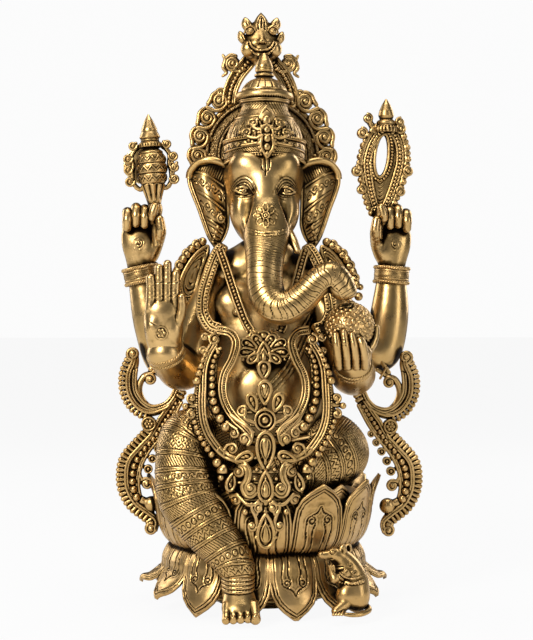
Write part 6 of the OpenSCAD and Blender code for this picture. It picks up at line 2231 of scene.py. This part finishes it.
def blender_mesh(name, v, f):
    """A smooth-shaded Blender mesh in metres, with its attribute of patina and painted shade."""
    me = bpy.data.meshes.new(name)
    corners = f.reshape(-1)
    corners = corners[corners >= 0]
    loops = np.where(f[:, 3] < 0, 3, 4)
    me.vertices.add(len(v))
    me.vertices.foreach_set("co", (v * MM).astype(np.float32).reshape(-1))
    me.loops.add(len(corners))
    me.loops.foreach_set("vertex_index", corners.astype(np.int32))
    me.polygons.add(len(f))
    me.polygons.foreach_set("loop_start", np.concatenate([[0], np.cumsum(loops)[:-1]]).astype(np.int32))
    me.update(calc_edges=True)
    att = me.attributes.new("patina_and_shade", "FLOAT", "POINT")
    att.data.foreach_set("value", patina_and_shade_of(v, f).astype(np.float32))
    me.polygons.foreach_set("use_smooth", np.ones(len(f), bool))
    return me


for p in PIECES:
    me = blender_mesh(p["name"], p["v"], p["f"])
    me.materials.append(SHADES[p["shade"]])
    ob = bpy.data.objects.new(p["name"], me)
    bpy.context.scene.collection.objects.link(ob)
    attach(ob, "root")
    if p["nodes"]:
        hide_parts(*p["nodes"])

# the fastenings keep their CAD meshes and get steel
for name in ("base_screws", "seat_bolts", "seat_nuts", "figure_bolts", "halo_screws", "shoulder_dowels",
             "neck_stud"):
    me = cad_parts[name].data
    me.materials.clear()
    me.materials.append(SHADES["steel"])


# ---------------------------------------------------------------- studio
WALL = 0.97             # the brightness of what the camera sees behind the object
ROOM = 0.13             # the brightness of what the object mirrors
FLOOR_Z = -0.0005       # just under the closing plate


def studio_floor():
    """A wide floor that looks white to the camera and is a plain surface for the rest."""
    me = bpy.data.meshes.new("floor")
    s = 24.0
    me.from_pydata([(-s, -s, FLOOR_Z), (s, -s, FLOOR_Z), (s, s, FLOOR_Z), (-s, s, FLOOR_Z)], [],
                   [(0, 1, 2, 3)])
    ob = bpy.data.objects.new("floor", me)
    bpy.context.scene.collection.objects.link(ob)
    mat = bpy.data.materials.new("floor")
    mat.use_nodes = True
    tree = mat.node_tree
    b = tree.nodes["Principled BSDF"]
    b.inputs["Base Color"].default_value = (0.92, 0.92, 0.92, 1.0)
    b.inputs["Roughness"].default_value = 0.9
    glow = tree.nodes.new("ShaderNodeEmission")
    glow.inputs["Color"].default_value = (1.0, 1.0, 1.0, 1.0)
    glow.inputs["Strength"].default_value = WALL
    rays = tree.nodes.new("ShaderNodeLightPath")
    part = tree.nodes.new("ShaderNodeMath")
    part.operation = "MULTIPLY"
    part.inputs[1].default_value = 0.96
    tree.links.new(rays.outputs["Is Camera Ray"], part.inputs[0])
    both = tree.nodes.new("ShaderNodeMixShader")
    tree.links.new(part.outputs["Value"], both.inputs["Fac"])
    tree.links.new(b.outputs["BSDF"], both.inputs[1])
    tree.links.new(glow.outputs["Emission"], both.inputs[2])
    tree.links.new(both.outputs["Shader"], tree.nodes["Material Output"].inputs["Surface"])
    me.materials.append(mat)


studio_floor()


def softbox(name, place, aim, size, power, colour=(1.0, 1.0, 1.0)):
    data = bpy.data.lights.new(name, "AREA")
    data.shape = "RECTANGLE"
    data.size, data.size_y = size
    data.energy = power
    data.color = colour
    ob = bpy.data.objects.new(name, data)
    bpy.context.scene.collection.objects.link(ob)
    ob.location = Vector(place)
    ob.rotation_euler = (Vector(aim) - Vector(place)).to_track_quat("-Z", "Y").to_euler()


softbox("key", (-1.25, -1.75, 1.35), (0, 0, 0.34), (0.6, 1.1), 54.0, (1.0, 0.985, 0.955))
softbox("fill", (1.7, -1.5, 0.75), (0, 0, 0.3), (0.7, 1.5), 10.0)
softbox("top", (0.0, -0.35, 2.1), (0, 0, 0.3), (1.3, 0.8), 20.0)
softbox("rim_left", (-1.5, 1.1, 0.9), (0, 0, 0.35), (0.8, 1.4), 15.0)
softbox("rim_right", (1.5, 1.2, 1.0), (0, 0, 0.35), (0.8, 1.4), 15.0)

# A white studio: the wall seen behind the object is bright, the room that it mirrors is dimmer.
bpy.context.scene.view_settings.view_transform = "Standard"
world = bpy.context.scene.world or bpy.data.worlds.new("world")
bpy.context.scene.world = world
world.use_nodes = True
tree = world.node_tree
tree.nodes.clear()
sky_out = tree.nodes.new("ShaderNodeOutputWorld")
wall = tree.nodes.new("ShaderNodeBackground")
wall.inputs["Color"].default_value = (1.0, 1.0, 1.0, 1.0)
wall.inputs["Strength"].default_value = WALL
room = tree.nodes.new("ShaderNodeBackground")
room.inputs["Color"].default_value = (0.80, 0.84, 0.90, 1.0)
room.inputs["Strength"].default_value = ROOM
rays = tree.nodes.new("ShaderNodeLightPath")
blend = tree.nodes.new("ShaderNodeMixShader")
tree.links.new(rays.outputs["Is Camera Ray"], blend.inputs["Fac"])
tree.links.new(room.outputs["Background"], blend.inputs[1])
tree.links.new(wall.outputs["Background"], blend.inputs[2])
tree.links.new(blend.outputs["Shader"], sky_out.inputs["Surface"])
